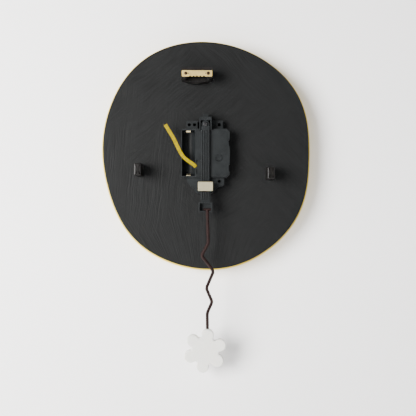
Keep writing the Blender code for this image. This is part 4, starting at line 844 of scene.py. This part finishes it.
def acetal(centre):
    """White gear plastic with turning rings about its arbor and a trace of oil."""
    material, tree, shader, coords = finish("acetal", 0.38, Subsurface_Weight=0.05,
                                            Subsurface_Scale=0.001)
    own = centred(tree, coords, *centre)
    rings = effect(tree, "Turned Rings", vector=own, pitch=0.00045).outputs[0]
    grain = effect(tree, "Moulded Grain", vector=coords, grain_size=0.0004, patch_size=0.004)
    surfaced(tree, shader,
             between(tree, grain.outputs["Patches"], (0.78, 0.77, 0.72), (0.70, 0.67, 0.58)),
             mixed(tree, grain.outputs["Patches"], 0.28, 0.46), rings, 0.00003, 0.5)
    return material


def enamelled_winding(name, axis, centre, pitch=0.00016):
    """Copper wire wound in even turns along an axis, under amber enamel, with painted shade in the
    grooves between the turns.
    """
    material, tree, shader, coords = finish(name, 0.34, 0.85)
    own = centred(tree, coords, *centre)
    along = node(tree, "ShaderNodeSeparateXYZ", {"Vector": own}).outputs[axis]
    slow = math(tree, "MULTIPLY", noise(tree, own, 400.0, 2.0), 0.00012)
    phase = math(tree, "DIVIDE", math(tree, "ADD", along, slow), pitch)
    wave = ramp(tree, math(tree, "SINE", math(tree, "MULTIPLY", phase, 2 * pi)), -1.0, 1.0)
    # painted shade: the copper is darkened in the groove between turns and bright on each turn's crown
    surfaced(tree, shader, between(tree, wave, (0.28, 0.10, 0.045), (0.78, 0.36, 0.16)),
             mixed(tree, wave, 0.48, 0.26), wave, 0.00006, 0.8)
    return material


def circuit_board():
    """Green solder mask with copper tracks round square cells, and tinned pads."""
    material, tree, shader, coords = finish("circuit_board", 0.36)
    cells = node(tree, "ShaderNodeTexVoronoi", {"Vector": coords, "Scale": 420.0},
                 distance="MANHATTAN", feature="F1")
    edge = node(tree, "ShaderNodeTexVoronoi", {"Vector": coords, "Scale": 420.0},
                feature="DISTANCE_TO_EDGE")
    track = ramp(tree, edge.outputs["Distance"], 0.10, 0.06)
    pad = ramp(tree, cells.outputs["Distance"], 0.16, 0.13)
    tone = between(tree, track, (0.010, 0.075, 0.028), (0.035, 0.17, 0.055))
    feed(tree, shader, Base_Color=between(tree, pad, tone, (0.72, 0.70, 0.66)),
         Metallic=pad,
         Roughness=mixed(tree, pad, 0.36, 0.24))
    raised(tree, shader, math(tree, "MAXIMUM", track, pad), 0.00006, 0.7)
    return material


def ribbed_tape(color, rib):
    """Woven tape on its own UV map, V along the length in metres: cross ribs, and the warp threads
    that run over them, with painted shade in the valleys between ribs and threads."""
    material, tree, shader, _ = finish("ribbed_tape", 0.75, Specular_Ior_Level=0.03)
    uv = tree.nodes.new("ShaderNodeUVMap")
    uv.uv_map = "tape"
    split = node(tree, "ShaderNodeSeparateXYZ", {"Vector": uv.outputs[0]})
    ribs = math(tree, "SINE", math(tree, "MULTIPLY", split.outputs["Y"], 2 * pi / rib))
    threads = math(tree, "SINE", math(tree, "MULTIPLY", split.outputs["X"], 2 * pi / (rib / 3)))
    ribs, threads = ramp(tree, ribs, -1.0, 1.0), ramp(tree, threads, -1.0, 1.0)
    weave_and_valley_shade = math(tree, "MULTIPLY", ribs, math(tree, "ADD", 0.7, math(tree, "MULTIPLY", threads, 0.3)))
    slow = noise(tree, uv.outputs[0], 220.0, 2.0)
    # painted shade: the yarn colour is darkened in the valleys between ribs and threads
    tone = between(tree, weave_and_valley_shade, shades(color, 0.55), shades(color, 1.10))
    surfaced(tree, shader, between(tree, ramp(tree, slow, 0.3, 0.7), tone, color),
             mixed(tree, weave_and_valley_shade, 0.75, 0.52), weave_and_valley_shade, 0.00008, 0.8)
    return material


def brown_wire(color):
    """Dark brown lacquered wire, rubbed lighter on the crowns of its strands."""
    material, tree, shader, coords = finish("brown_wire", 0.6, Specular_Ior_Level=0.05)
    grain = effect(tree, "Moulded Grain", vector=coords, grain_size=0.0005, patch_size=0.006)
    rub = ramp(tree, noise(tree, coords, 700.0, 3.0, 0.7), 0.56, 0.72)
    tone = between(tree, grain.outputs["Patches"], shades(color, 0.7), shades(color, 1.35))
    surfaced(tree, shader, between(tree, rub, tone, shades(color, 1.9)),
             mixed(tree, grain.outputs["Patches"], 0.52, 0.70), grain.outputs["Grain"], 0.00004, 0.5)
    return material


def shared(name, maker, *values):
    """The material of that name, made the first time it is asked for."""
    return bpy.data.materials.get(name) or maker(*values)


# Stage


def pale_paint(name, color):
    """Pale matt paint with a slow unevenness."""
    material, tree, shader, coords = finish(name, 0.85, Specular_Ior_Level=0.1)
    patches = effect(tree, "Moulded Grain", vector=coords, grain_size=0.002, patch_size=0.5)
    feed(tree, shader, Base_Color=between(
        tree, patches.outputs["Patches"], shades(color, 0.992), color))
    return material


def one_sided(material):
    """Lets the back of a backdrop be looked through, and light from behind pass it."""
    tree = material.node_tree
    shader, output = tree.nodes["Principled BSDF"], tree.nodes["Material Output"]
    behind = tree.nodes.new("ShaderNodeNewGeometry").outputs["Backfacing"]
    shadow = tree.nodes.new("ShaderNodeLightPath").outputs["Is Shadow Ray"]
    clear = tree.nodes.new("ShaderNodeBsdfTransparent")
    mix = node(tree, "ShaderNodeMixShader", {
        0: math(tree, "MAXIMUM", behind, shadow), 1: shader.outputs[0], 2: clear.outputs[0]})
    tree.links.new(mix.outputs[0], output.inputs["Surface"])
    return material


def cove(y, floor_z, radius, wide=2.5, up=1.6, near=2.5, steps=40):
    """A pale sweep: an upright sheet that bends through a quarter circle into the floor. At angle a
    the bend lies radius times (1 - cos a) nearer and radius times sin a lower than its start."""
    a = np.linspace(0, pi / 2, steps)
    profile = np.concatenate([
        [(y, up)],
        np.stack([y + radius * (1 - np.cos(a)), floor_z + radius * (1 - np.sin(a))], -1),
        [(near, floor_z)],
    ])
    rows = np.array([[(wide, *p), (-wide, *p)] for p in profile])
    first = 2 * np.arange(len(profile) - 1)[:, None]
    return rows.reshape(-1, 3).tolist(), (first + (0, 2, 3, 1)).tolist()


def stage_sheet(name, surface, material):
    """A thin sheet, filed as part of the stage."""
    mesh = bpy.data.meshes.new(name)
    mesh.from_pydata(surface[0], [], surface[1])
    mesh.shade_smooth()
    mesh.materials.append(material)
    linked(name, mesh)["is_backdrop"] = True


def area_light(name, place, size, power, color, target):
    """A soft disc light that looks at a target."""
    data = bpy.data.lights.new(name, "AREA")
    data.shape = "DISK"
    data.size = size
    data.energy = power
    data.color = color
    obj = linked(name, data)
    obj.location = place
    obj.rotation_mode = "QUATERNION"
    obj.rotation_quaternion = (target - obj.location).to_track_quat("-Z", "Y")


LIGHTS = (
    # name, setting that holds its power, place, diameter, colour
    ("key_light", "key", (0.90, 1.05, -0.02), 0.90, (1.0, 0.985, 0.965)),
    ("fill_light", "fill", (-1.30, 1.50, 0.10), 1.40, (0.97, 0.985, 1.0)),
    ("dial_light_left", "dial_light", (-0.90, -1.40, 0.80), 0.8, (1.0, 0.99, 0.97)),
    ("dial_light_right", "dial_light", (1.20, -1.20, 0.20), 1.2, (0.98, 0.99, 1.0)),
)
FLOOR_HALF = 4.0
FLOOR_GAP = 0.001
SKY_COLOR, SEEN_COLOR, SEEN_STRENGTH = (0.97, 0.98, 1.0, 1.0), (0.97, 0.97, 0.98, 1.0), 3.2


def room_light(strength):
    """A world that lights evenly, and that the camera sees as a bright pale wall."""
    world = bpy.data.worlds.new("room")
    world.use_nodes = True
    tree = world.node_tree
    sky = tree.nodes["Background"]
    fill(tree, sky, {"Color": SKY_COLOR, "Strength": strength})
    seen = node(tree, "ShaderNodeBackground", {"Color": SEEN_COLOR, "Strength": SEEN_STRENGTH})
    path = tree.nodes.new("ShaderNodeLightPath")
    mix = node(tree, "ShaderNodeMixShader", {
        0: path.outputs["Is Camera Ray"], 1: sky.outputs[0], 2: seen.outputs[0]})
    tree.links.new(mix.outputs[0], tree.nodes["World Output"].inputs["Surface"])
    return world


# Operators


class PieceOperator:
    """What every operator of the clock shares."""

    bl_options = {"REGISTER", "UNDO"}


class CLOCK_OT_studio(PieceOperator, Operator):
    """Camera, soft lights, pale backdrop, pale floor and room light"""

    bl_idname = "clock.studio"
    bl_label = "Studio"

    def execute(self, context):
        s = context.scene.wall_clock.studio
        camera_data = bpy.data.cameras.new("camera")
        camera_data.lens = s.lens
        camera_data.sensor_width = 36.0
        camera = linked("camera", camera_data)
        camera.location = s.camera
        camera.rotation_euler = (pi / 2, 0.0, pi)
        context.scene.camera = camera
        context.view_layer.update()

        low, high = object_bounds()
        for name, power, place, size, color in LIGHTS:
            area_light(name, place, size, getattr(s, power), color, (low + high) / 2)
        backdrop = one_sided(pale_paint("backdrop_paint", s.pale))
        stage_sheet("backdrop", cove(s.backdrop_y, s.floor_z, s.cove), backdrop)
        z = s.floor_z - FLOOR_GAP
        corners = [(FLOOR_HALF * x, FLOOR_HALF * y, z) for x, y in ((-1, -1), (1, -1), (1, 1), (-1, 1))]
        stage_sheet("floor", (corners, [(0, 1, 2, 3)]), pale_paint("floor_paint", s.pale))
        context.scene.world = room_light(s.sky)
        return {"FINISHED"}


RIB_SWELL = 0.35


def tape(route, along, width, sheet, rib):
    """A flat oval carried along a route, whose half thickness swells on each cross rib: the square
    roots of cosine and sine square its ends, and the swelling is a sine squared along the length."""
    side, lift = side_vectors(route)
    a = np.linspace(0, 2 * pi, 20, endpoint=False)
    across = width / 2 * np.sign(np.cos(a)) * np.sqrt(np.abs(np.cos(a)))
    through = sheet / 2 * np.sign(np.sin(a)) * np.sqrt(np.abs(np.sin(a)))
    swell = 1 + RIB_SWELL * np.sin(pi * along / rib)[:, None, None] ** 2
    return lofted(route[:, None] + across[None, :, None] * side[:, None]
                  + through[None, :, None] * swell * lift[:, None])


def laid_out(obj, route, along):
    """Gives a mesh along a route a UV map in metres: U across it, and V along its length."""
    side, lift = side_vectors(route)
    co = np.zeros(len(obj.data.vertices) * 3)
    obj.data.vertices.foreach_get("co", co)
    co = co.reshape(-1, 3)
    nearest = np.linalg.norm(co[:, None] - route[None, ::4], axis=2).argmin(1) * 4
    off = co - route[nearest]
    u = np.einsum("ij,ij->i", off, side[nearest])
    v = along[nearest] + np.einsum("ij,ij->i", off, np.cross(lift[nearest], side[nearest]))
    index = np.zeros(len(obj.data.loops), int)
    obj.data.loops.foreach_get("vertex_index", index)
    obj.data.uv_layers.new(name="tape").data.foreach_set("uv", np.stack([u, v], -1)[index].ravel())


class CLOCK_OT_ribbon(PieceOperator, Operator):
    """Ribbed yellow pull ribbon of the battery bay"""

    bl_idname = "clock.ribbon"
    bl_label = "Battery Ribbon"

    def execute(self, context):
        s = context.scene.wall_clock.ribbon
        points = np.array(RIBBON_ROUTE) + (AXIS_X, 0.0, AXIS_Z)
        route, along = evenly(catmull_rom(points, 16), s.rib / 8)
        obj = made("battery_ribbon_tape", tape(route, along, s.width, s.sheet, s.rib), crease=60)
        laid_out(obj, route, along)
        yarn = shared("ribbed_tape", ribbed_tape, tuple(s.yarn), s.rib)
        dressed(obj, yarn, CASE, "ribbon_yellow", "battery_ribbon")
        return {"FINISHED"}


class CLOCK_OT_board(PieceOperator, Operator):
    """Brushed black board and the yellow dial in front of it"""

    bl_idname = "clock.board"
    bl_label = "Board and Dial"

    def execute(self, context):
        s = context.scene.wall_clock.board
        shift = (AXIS_X, 0.0, AXIS_Z)
        paint = shared("brushed_black_paint", brushed_black_paint, tuple(s.paint))
        yellow = shared("yellow_paint", yellow_paint, tuple(s.dial))

        low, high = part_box("backing_board")
        board = rounded_slab(pebble(s.radius), low.y, high.y, s.edge, BUSH_CLEARANCE)
        dressed(made("backing_board_painted", board, shift), paint, CASE, "board_black",
                "backing_board")
        low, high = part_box("dial_plate")
        dial = rounded_slab(pebble(s.radius, s.rim), low.y, high.y, 0.3 * s.edge, BUSH_CLEARANCE)
        dressed(made("dial_plate_painted", dial, shift), yellow, CASE, "dial_yellow", "dial_plate")
        return {"FINISHED"}


NUMERAL_RELIEF, NUMERAL_BEVEL = 0.00012, 0.00006
NUMERAL_LIFT = 0.00015
HOUR_MARK, MINUTE_MARK, MARK_HEIGHT = 0.0016, 0.0008, 0.0003


def numeral(hour, height):
    """The mesh of one hour's numeral, in its own XY plane."""
    data = bpy.data.curves.new(f"numeral_{hour}", "FONT")
    data.body = str(hour)
    data.size = height * 1.4  # a figure is about 0.7 of the font's size
    data.align_x = "CENTER"
    data.align_y = "CENTER"
    data.extrude = NUMERAL_RELIEF
    data.bevel_depth = NUMERAL_BEVEL
    text = linked(data.name, data)
    bpy.context.view_layer.update()
    evaluated = text.evaluated_get(bpy.context.evaluated_depsgraph_get())
    mesh = bpy.data.meshes.new_from_object(evaluated)
    bpy.data.objects.remove(text)
    bpy.data.curves.remove(data)
    return mesh


def on_circle(radius, part):
    """X and Z on a circle, at a part of a turn clockwise from the top."""
    return radius * sin(2 * pi * part), radius * cos(2 * pi * part)


class CLOCK_OT_numerals(PieceOperator, Operator):
    """Hour numerals and minute marks on the dial"""

    bl_idname = "clock.numerals"
    bl_label = "Numerals and Marks"

    def execute(self, context):
        s = context.scene.wall_clock.front
        ink = shared("dial_ink", plain_dark, "dial_ink", shades(s.ink, 0.8), shades(s.ink, 1.3),
                     0.5, 0.0006, 0.00003)
        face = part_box("dial_plate")[0].y
        cage = bmesh.new()
        for hour in range(1, 13):
            mesh = numeral(hour, s.numeral_height)
            x, z = on_circle(s.numeral_circle, hour / 12)
            spot = Matrix.Translation((AXIS_X + x, face - NUMERAL_LIFT, AXIS_Z + z))
            mesh.transform(spot @ Matrix.Rotation(pi / 2, 4, "X"))
            cage.from_mesh(mesh)
            bpy.data.meshes.remove(mesh)
        numerals = bpy.data.meshes.new("hour_numerals")
        cage.to_mesh(numerals)
        cage.free()
        tidy(numerals)
        dressed(linked("hour_numerals", numerals), ink, CASE, "board_black")

        # a low dome: the radius shrinks with the sine while the height grows with the cosine
        rise = np.array([(1.0, 0.0), (1.0, 0.5), (0.86, 0.86), (0.5, 1.0), (0.05, 1.0)])
        marks = []
        for minute in range(60):
            radius = MINUTE_MARK if minute % 5 else HOUR_MARK
            points, faces = lofted(turned(rise * (radius, -MARK_HEIGHT), 18))
            x, z = on_circle(s.minute_circle, minute / 60)
            marks.append((points + (x, 0.0, z), faces))
        dressed(made("minute_marks", joined(marks), (AXIS_X, face, AXIS_Z)), ink, CASE,
                "board_black")
        return {"FINISHED"}


NAIL_DOME, NAIL_UNDERSIDE, NAIL_NECK = 0.00055, 0.0007, 0.00075
NAIL_SHANK, NAIL_TAPER, POINT = 0.0007, 0.0014, 0.00002


def nail(node_name):
    """A nail in its CAD node's box: a domed head over a straight shank that runs to a point."""
    low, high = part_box(node_name)
    head, y = (high.x - low.x) / 2, high.y
    dome = np.linspace(0, pi / 2, 7)[1:]
    profile = [(0.02 * head, y), *((head * sin(a), y - NAIL_DOME * (1 - cos(a))) for a in dome),
               (head, y - NAIL_UNDERSIDE), (NAIL_SHANK, y - NAIL_NECK),
               (NAIL_SHANK, low.y + NAIL_TAPER), (POINT, low.y)]
    return lofted(turned(profile, 28))


class CLOCK_OT_hanger(PieceOperator, Operator):
    """Gloss black hanger block, its brass sawtooth strip and two nails"""

    bl_idname = "clock.hanger"
    bl_label = "Hanger"

    def execute(self, context):
        gloss = shared("gloss_lacquer", gloss_lacquer)
        bevelled("hanger_block_lacquered", "hanger_block", 0.0006, gloss, CASE, "gloss_black", 4)
        brass = shared("stamped_brass", metal, "stamped_brass", (0.66, 0.50, 0.19),
                       (0.50, 0.37, 0.13), 0.38)
        bevelled("sawtooth_strip", "sawtooth_hanger", 0.00014, brass, CASE, "brass")
        for side in ("left", "right"):
            name = f"hanger_nail_{side}"
            browned = shared(f"browned_nail_{side}", turned_metal, f"browned_nail_{side}",
                             (0.024, 0.016, 0.011), (0.040, 0.026, 0.017), 0.50, middle_of(name))
            dressed(made(f"{name}_turned", nail(name), middle_of(name)), browned, CASE,
                    "nail_brown", name)
        return {"FINISHED"}


PEG_FLARE, PEG_CORNER, PEG_EDGE = 1.06, 0.0014, 0.0011


class CLOCK_OT_standoffs(PieceOperator, Operator):
    """Two gloss black pegs that keep the board off the wall"""

    bl_idname = "clock.standoffs"
    bl_label = "Standoffs"

    def execute(self, context):
        gloss = shared("gloss_lacquer", gloss_lacquer)
        for name in ("standoff_left", "standoff_right"):
            low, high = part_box(name)
            width, tall = (high.x - low.x) / PEG_FLARE, (high.z - low.z) / PEG_FLARE
            outline = rounded_rectangle(width, tall, PEG_CORNER)
            peg = rounded_slab(outline, low.y, high.y, PEG_EDGE, flare=PEG_FLARE)
            dressed(made(f"{name}_lacquered", peg, middle_of(name)), gloss, CASE, "gloss_black",
                    name)
        return {"FINISHED"}


class CLOCK_OT_movement(PieceOperator, Operator):
    """Moulded rear cover, front case and setting knob of the movement"""

    bl_idname = "clock.movement"
    bl_label = "Movement Housing"

    def execute(self, context):
        s = context.scene.wall_clock.movement
        black = shared("moulded_black", moulded_black, tuple(s.plastic))
        bevelled("rear_cover_moulded", "rear_cover", s.edge, black, CASE, "movement_black")
        bevelled("setting_knob_moulded", "setting_knob", 0.00008, black, "setting_set",
                 "movement_black")
        painted(black, "front_case", "train_plate")
        return {"FINISHED"}


class CLOCK_OT_contacts(PieceOperator, Operator):
    """Brass contact plate and leaf spring of the battery bay"""

    bl_idname = "clock.contacts"
    bl_label = "Battery Contacts"

    def execute(self, context):
        bright = shared("contact_brass", metal, "contact_brass", (0.88, 0.76, 0.50),
                        (0.74, 0.61, 0.38), 0.26, 0.0)
        for name in ("positive_contact", "negative_contact"):
            bevelled(f"{name}_sheet", name, 0.00008, bright, CASE, "brass")
        return {"FINISHED"}


# The ribs' section, the space they take up across the arm, and the two runs above and below the cap
RIB_WIDE, RIB_DEEP, RIB_ROUND, RIB_TAPER = 0.0009, 0.0016, 0.0004, 0.0004
RIB_SPREAD, RIB_CAP_GAP, RIB_SINK = 0.0041, 0.0006, 0.0003
RIB_TOP, RIB_BOTTOM = 0.0262, -0.0535
CAP_CORNER, CAP_EDGE = 0.0005, 0.0004


def arm_rib(x, y, top, bottom):
    """A bar of rounded section from top to bottom whose ends taper into the arm."""
    section = rounded_rectangle(RIB_WIDE, RIB_DEEP, RIB_ROUND, 4)
    size = np.array([0.5, 1.0, 1.0, 0.5])[:, None]
    z = np.array([top, top - RIB_TAPER, bottom + RIB_TAPER, bottom])[:, None]
    return lofted(np.stack([x + section[:, 0] * size, y + section[:, 1] * size,
                            np.broadcast_to(z, (4, len(section)))], -1))


class CLOCK_OT_arm(PieceOperator, Operator):
    """Ribbed pendulum arm, its cream magnet cap, and the pivot screw"""

    bl_idname = "clock.arm"
    bl_label = "Pendulum Arm"

    def execute(self, context):
        s = context.scene.wall_clock.movement
        black = shared("moulded_black", moulded_black, tuple(s.plastic))
        bevelled("pendulum_arm_moulded", "pendulum_arm", s.edge, black, ARM, "movement_black")

        low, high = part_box("magnet_cap")
        spans = ((AXIS_Z + RIB_TOP, high.z + RIB_CAP_GAP), (low.z - RIB_CAP_GAP, AXIS_Z + RIB_BOTTOM))
        places = [AXIS_X + RIB_SPREAD * (2 * i / (s.rib_count - 1) - 1) for i in range(s.rib_count)]
        ribs = joined([arm_rib(x, low.y - RIB_SINK, *span) for x in places for span in spans])
        dressed(made("pendulum_arm_ribs", ribs), black, ARM, "movement_black")

        cream = shared("cream_plastic", cream_plastic, tuple(s.cream))
        outline = rounded_rectangle(high.x - low.x, high.z - low.z, CAP_CORNER)
        cap = rounded_slab(outline, low.y, high.y, CAP_EDGE)
        dressed(made("magnet_cap_moulded", cap, middle_of("magnet_cap")), cream, ARM, "cap_cream",
                "magnet_cap")

        grey = shared("screw_steel", turned_metal, "screw_steel", (0.030, 0.030, 0.031),
                      (0.018, 0.018, 0.019), 0.50, middle_of("pivot_screw"))
        bevelled("pivot_screw_turned", "pivot_screw", 0.00012, grey, CASE, "steel")
        return {"FINISHED"}


# The cross pin at the rod's top, and how deep the twist cuts into the rod
PIN_RADIUS, PIN_REACH = 0.0013, 0.0042
TWIST_DEPTH = 0.12


def twisted_wire(route, along, radius, strands, lay, sides=30):
    """A round section carried along a route. Its radius swells on each strand: it follows the root
    of the size of the cosine of half the strand count times the angle, less the twist so far."""
    side, lift = side_vectors(route)
    a = np.linspace(0, 2 * pi, sides, endpoint=False)
    turn = 2 * pi * along / lay
    crown = np.abs(np.cos(strands / 2 * (a[None] - turn[:, None])))
    reach = radius * (1 - TWIST_DEPTH + TWIST_DEPTH * np.sqrt(crown))
    return lofted(route[:, None] + (reach * np.cos(a))[..., None] * side[:, None]
                  + (reach * np.sin(a))[..., None] * lift[:, None])


def cross_pin(x, y, z, sides=30):
    """A bar along X about a point, whose ends are half rounds."""
    a = np.linspace(0, 2 * pi, sides, endpoint=False)
    b = np.linspace(0, pi / 2, 7)[1:]
    size = PIN_RADIUS * np.concatenate([np.sin(b), np.sin(b)[::-1]])[:, None]
    end = PIN_REACH - PIN_RADIUS * 0.5 * (1 - np.sin(b))
    across = np.concatenate([-end, end[::-1]])[:, None]
    return lofted(np.stack([np.broadcast_to(x + across, (len(across), sides)),
                            y + size * np.cos(a), z + size * np.sin(a)], -1))


class CLOCK_OT_rod(PieceOperator, Operator):
    """Kinked rod of twisted dark wire, with the cross pin it hangs by"""

    bl_idname = "clock.rod"
    bl_label = "Pendulum Rod"

    def execute(self, context):
        s = context.scene.wall_clock.pendulum
        low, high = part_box("pendulum_rod")
        y, pin_z = (low.y + high.y) / 2, AXIS_Z + PIN_W
        path = np.array([(AXIS_X + u, y, pin_z + z) for u, z in ROD_ROUTE])
        end = path[-1] - (0.0, 0.0, ROD_IN_BOB)
        route, along = evenly(np.concatenate([kinked(path, ROD_BEND, 10), end[None]]), 0.0005)
        rod = twisted_wire(route, along, s.rod_radius, s.strands, s.lay)
        pin = cross_pin(AXIS_X + ROD_U, y, pin_z)
        wire = shared("brown_wire", brown_wire, tuple(s.wire))
        obj = made("pendulum_rod_wire", joined([rod, pin]), crease=70)
        dressed(obj, wire, DROP, "rod_brown", "pendulum_rod")
        return {"FINISHED"}


class CLOCK_OT_bob(PieceOperator, Operator):
    """White flower bob with six rounded petals"""

    bl_idname = "clock.bob"
    bl_label = "Flower Bob"

    def execute(self, context):
        s = context.scene.wall_clock.pendulum
        low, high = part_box("pendulum_bob")
        outline = flower()
        slab = rounded_slab(outline, low.y, high.y, s.bob_edge)
        x, _, z = middle_of("pendulum_bob")
        middle = (outline.min(0) + outline.max(0)) / 2
        white = shared("flower_white", matt_white, "flower_white", tuple(s.white))
        dressed(made("pendulum_bob_flower", slab, (x - middle[0], 0.0, z - middle[1])), white, DROP,
                "bob_white", "pendulum_bob")
        return {"FINISHED"}


CAP_BORE, CAP_BORE_DEPTH, CAP_CHAMFER = 0.0014, 0.0020, 0.0002
WASHER_CHAMFER = 0.00012


def cap_nut():
    """The nut on the hands: a domed cap whose radius follows the sine and whose depth the cosine of
    one angle, with a blind bore in its back."""
    low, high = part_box("hand_nut")
    reach, tall = (high.x - low.x) / 2, high.y - low.y
    a = np.linspace(0, pi / 2, 10)[1:]
    floor = high.y - CAP_BORE_DEPTH
    profile = [(0.00003, low.y), *((reach * sin(t), low.y + 0.5 * tall * (1 - cos(t))) for t in a),
               (reach, high.y - CAP_CHAMFER), (reach - CAP_CHAMFER, high.y), (CAP_BORE, high.y),
               (CAP_BORE, floor), (0.00003, floor)]
    return lofted(turned(profile, 48))


def washer():
    """A flat ring with its four edges broken."""
    low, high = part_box("dial_washer")
    outer, soft = (high.x - low.x) / 2, WASHER_CHAMFER
    inner = BUSH_CLEARANCE
    profile = [(inner, low.y + soft), (inner + soft, low.y), (outer - soft, low.y),
               (outer, low.y + soft), (outer, high.y - soft), (outer - soft, high.y),
               (inner + soft, high.y), (inner, high.y - soft)]
    return lofted(turned(profile, 72), "loop")


class CLOCK_OT_hands(PieceOperator, Operator):
    """Hands, the nut that holds them, and the brass washer and nut on the dial"""

    bl_idname = "clock.hands"
    bl_label = "Hands and Fixings"

    def execute(self, context):
        s = context.scene.wall_clock.front
        axis = (AXIS_X, 0.0, AXIS_Z)
        lacquer = shared("hand_lacquer", matt_white, "hand_lacquer", tuple(s.hand_paint), 0.32)
        for name in ("hour_hand", "minute_hand"):
            bevelled(f"{name}_lacquered", name, 0.00025, lacquer, f"{name}_set", "hand_white", 3, 50)
        dressed(made("hand_nut_turned", cap_nut(), axis), lacquer, "minute_hand_set", "hand_white",
                "hand_nut")
        brass = shared("turned_brass", turned_metal, "turned_brass", (0.83, 0.69, 0.42),
                       (0.68, 0.53, 0.30), 0.28, axis)
        dressed(made("dial_washer_turned", washer(), axis), brass, CASE, "brass", "dial_washer")
        bevelled("fixing_nut_cut", "fixing_nut", 0.00025, brass, CASE, "brass", 3)
        return {"FINISHED"}


class CLOCK_OT_inner_finishes(PieceOperator, Operator):
    """Finishes of the wheels, arbors, coils, electronics and gasket inside"""

    bl_idname = "clock.inner_finishes"
    bl_label = "Inner Finishes"

    def execute(self, context):
        for name in ("centre_wheel", "third_wheel", "seconds_wheel", "intermediate_wheel", "rotor",
                     "minute_wheel", "hour_wheel"):
            painted(acetal(middle_of(name)), name)
        axis = (AXIS_X, 0.0, AXIS_Z)
        painted(turned_metal("turned_steel", (0.62, 0.62, 0.63), (0.50, 0.50, 0.50), 0.26, axis),
                "minute_arbor")
        painted(metal("rolled_steel", (0.60, 0.60, 0.61), (0.48, 0.48, 0.49), 0.30),
                "motor_stator", "coil_core", "quartz_crystal")
        painted(turned_metal("bush_brass", (0.80, 0.66, 0.40), (0.64, 0.50, 0.28), 0.30,
                             middle_of("pivot_bush")), "pivot_bush")
        for name, along in (("motor_coil", "X"), ("drive_coil", "Y")):
            low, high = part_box(name)
            painted(enamelled_winding(f"{name}_winding", along, (low + high) / 2), name)
        painted(circuit_board(), "circuit_board")
        painted(plain_dark("ferrite", (0.045, 0.045, 0.048), (0.085, 0.083, 0.082), 0.48,
                           0.0005, 0.00005), "rotor_magnet", "drive_magnet")
        painted(plain_dark("chip_epoxy", (0.010, 0.010, 0.011), (0.022, 0.022, 0.022), 0.45,
                           0.0003, 0.00003), "timer_chip")
        painted(plain_dark("gasket_rubber", (0.012, 0.012, 0.012), (0.030, 0.030, 0.029), 0.80,
                           0.0006, 0.00008), "movement_gasket")
        return {"FINISHED"}


SETTINGS = (BoardSettings, MovementSettings, PendulumSettings, RibbonSettings, FrontSettings,
            StudioSettings, ClockSettings)
OPERATORS = (
    CLOCK_OT_studio, CLOCK_OT_ribbon, CLOCK_OT_board, CLOCK_OT_numerals, CLOCK_OT_hanger,
    CLOCK_OT_standoffs, CLOCK_OT_movement, CLOCK_OT_contacts, CLOCK_OT_arm, CLOCK_OT_rod,
    CLOCK_OT_bob, CLOCK_OT_hands, CLOCK_OT_inner_finishes,
)


class CLOCK_PT_sidebar(Panel):
    """Lists the clock's pieces and their settings"""

    bl_idname = "CLOCK_PT_sidebar"
    bl_label = "Wall Clock"
    bl_space_type = "VIEW_3D"
    bl_region_type = "UI"
    bl_category = "Wall Clock"

    def draw(self, context):
        clock = context.scene.wall_clock
        for group in ("studio", "ribbon", "board", "front", "movement", "pendulum"):
            box = self.layout.box()
            box.label(text=group.title())
            settings = getattr(clock, group)
            for key in settings.__annotations__:
                box.prop(settings, key)
        column = self.layout.column(align=True)
        for operator in OPERATORS:
            column.operator(operator.bl_idname)


def register():
    for made_class in (*SETTINGS, *OPERATORS, CLOCK_PT_sidebar):
        bpy.utils.register_class(made_class)
    bpy.types.Scene.wall_clock = PointerProperty(type=ClockSettings)


def unregister():
    del bpy.types.Scene.wall_clock
    for made_class in reversed((*SETTINGS, *OPERATORS, CLOCK_PT_sidebar)):
        bpy.utils.unregister_class(made_class)


def main():
    register()
    bpy.ops.clock.studio()
    bpy.ops.clock.ribbon()
    bpy.ops.clock.board()
    bpy.ops.clock.numerals()
    bpy.ops.clock.hanger()
    bpy.ops.clock.standoffs()
    bpy.ops.clock.movement()
    bpy.ops.clock.contacts()
    bpy.ops.clock.arm()
    bpy.ops.clock.rod()
    bpy.ops.clock.bob()
    bpy.ops.clock.hands()
    bpy.ops.clock.inner_finishes()


if __name__ == "__main__":
    main()
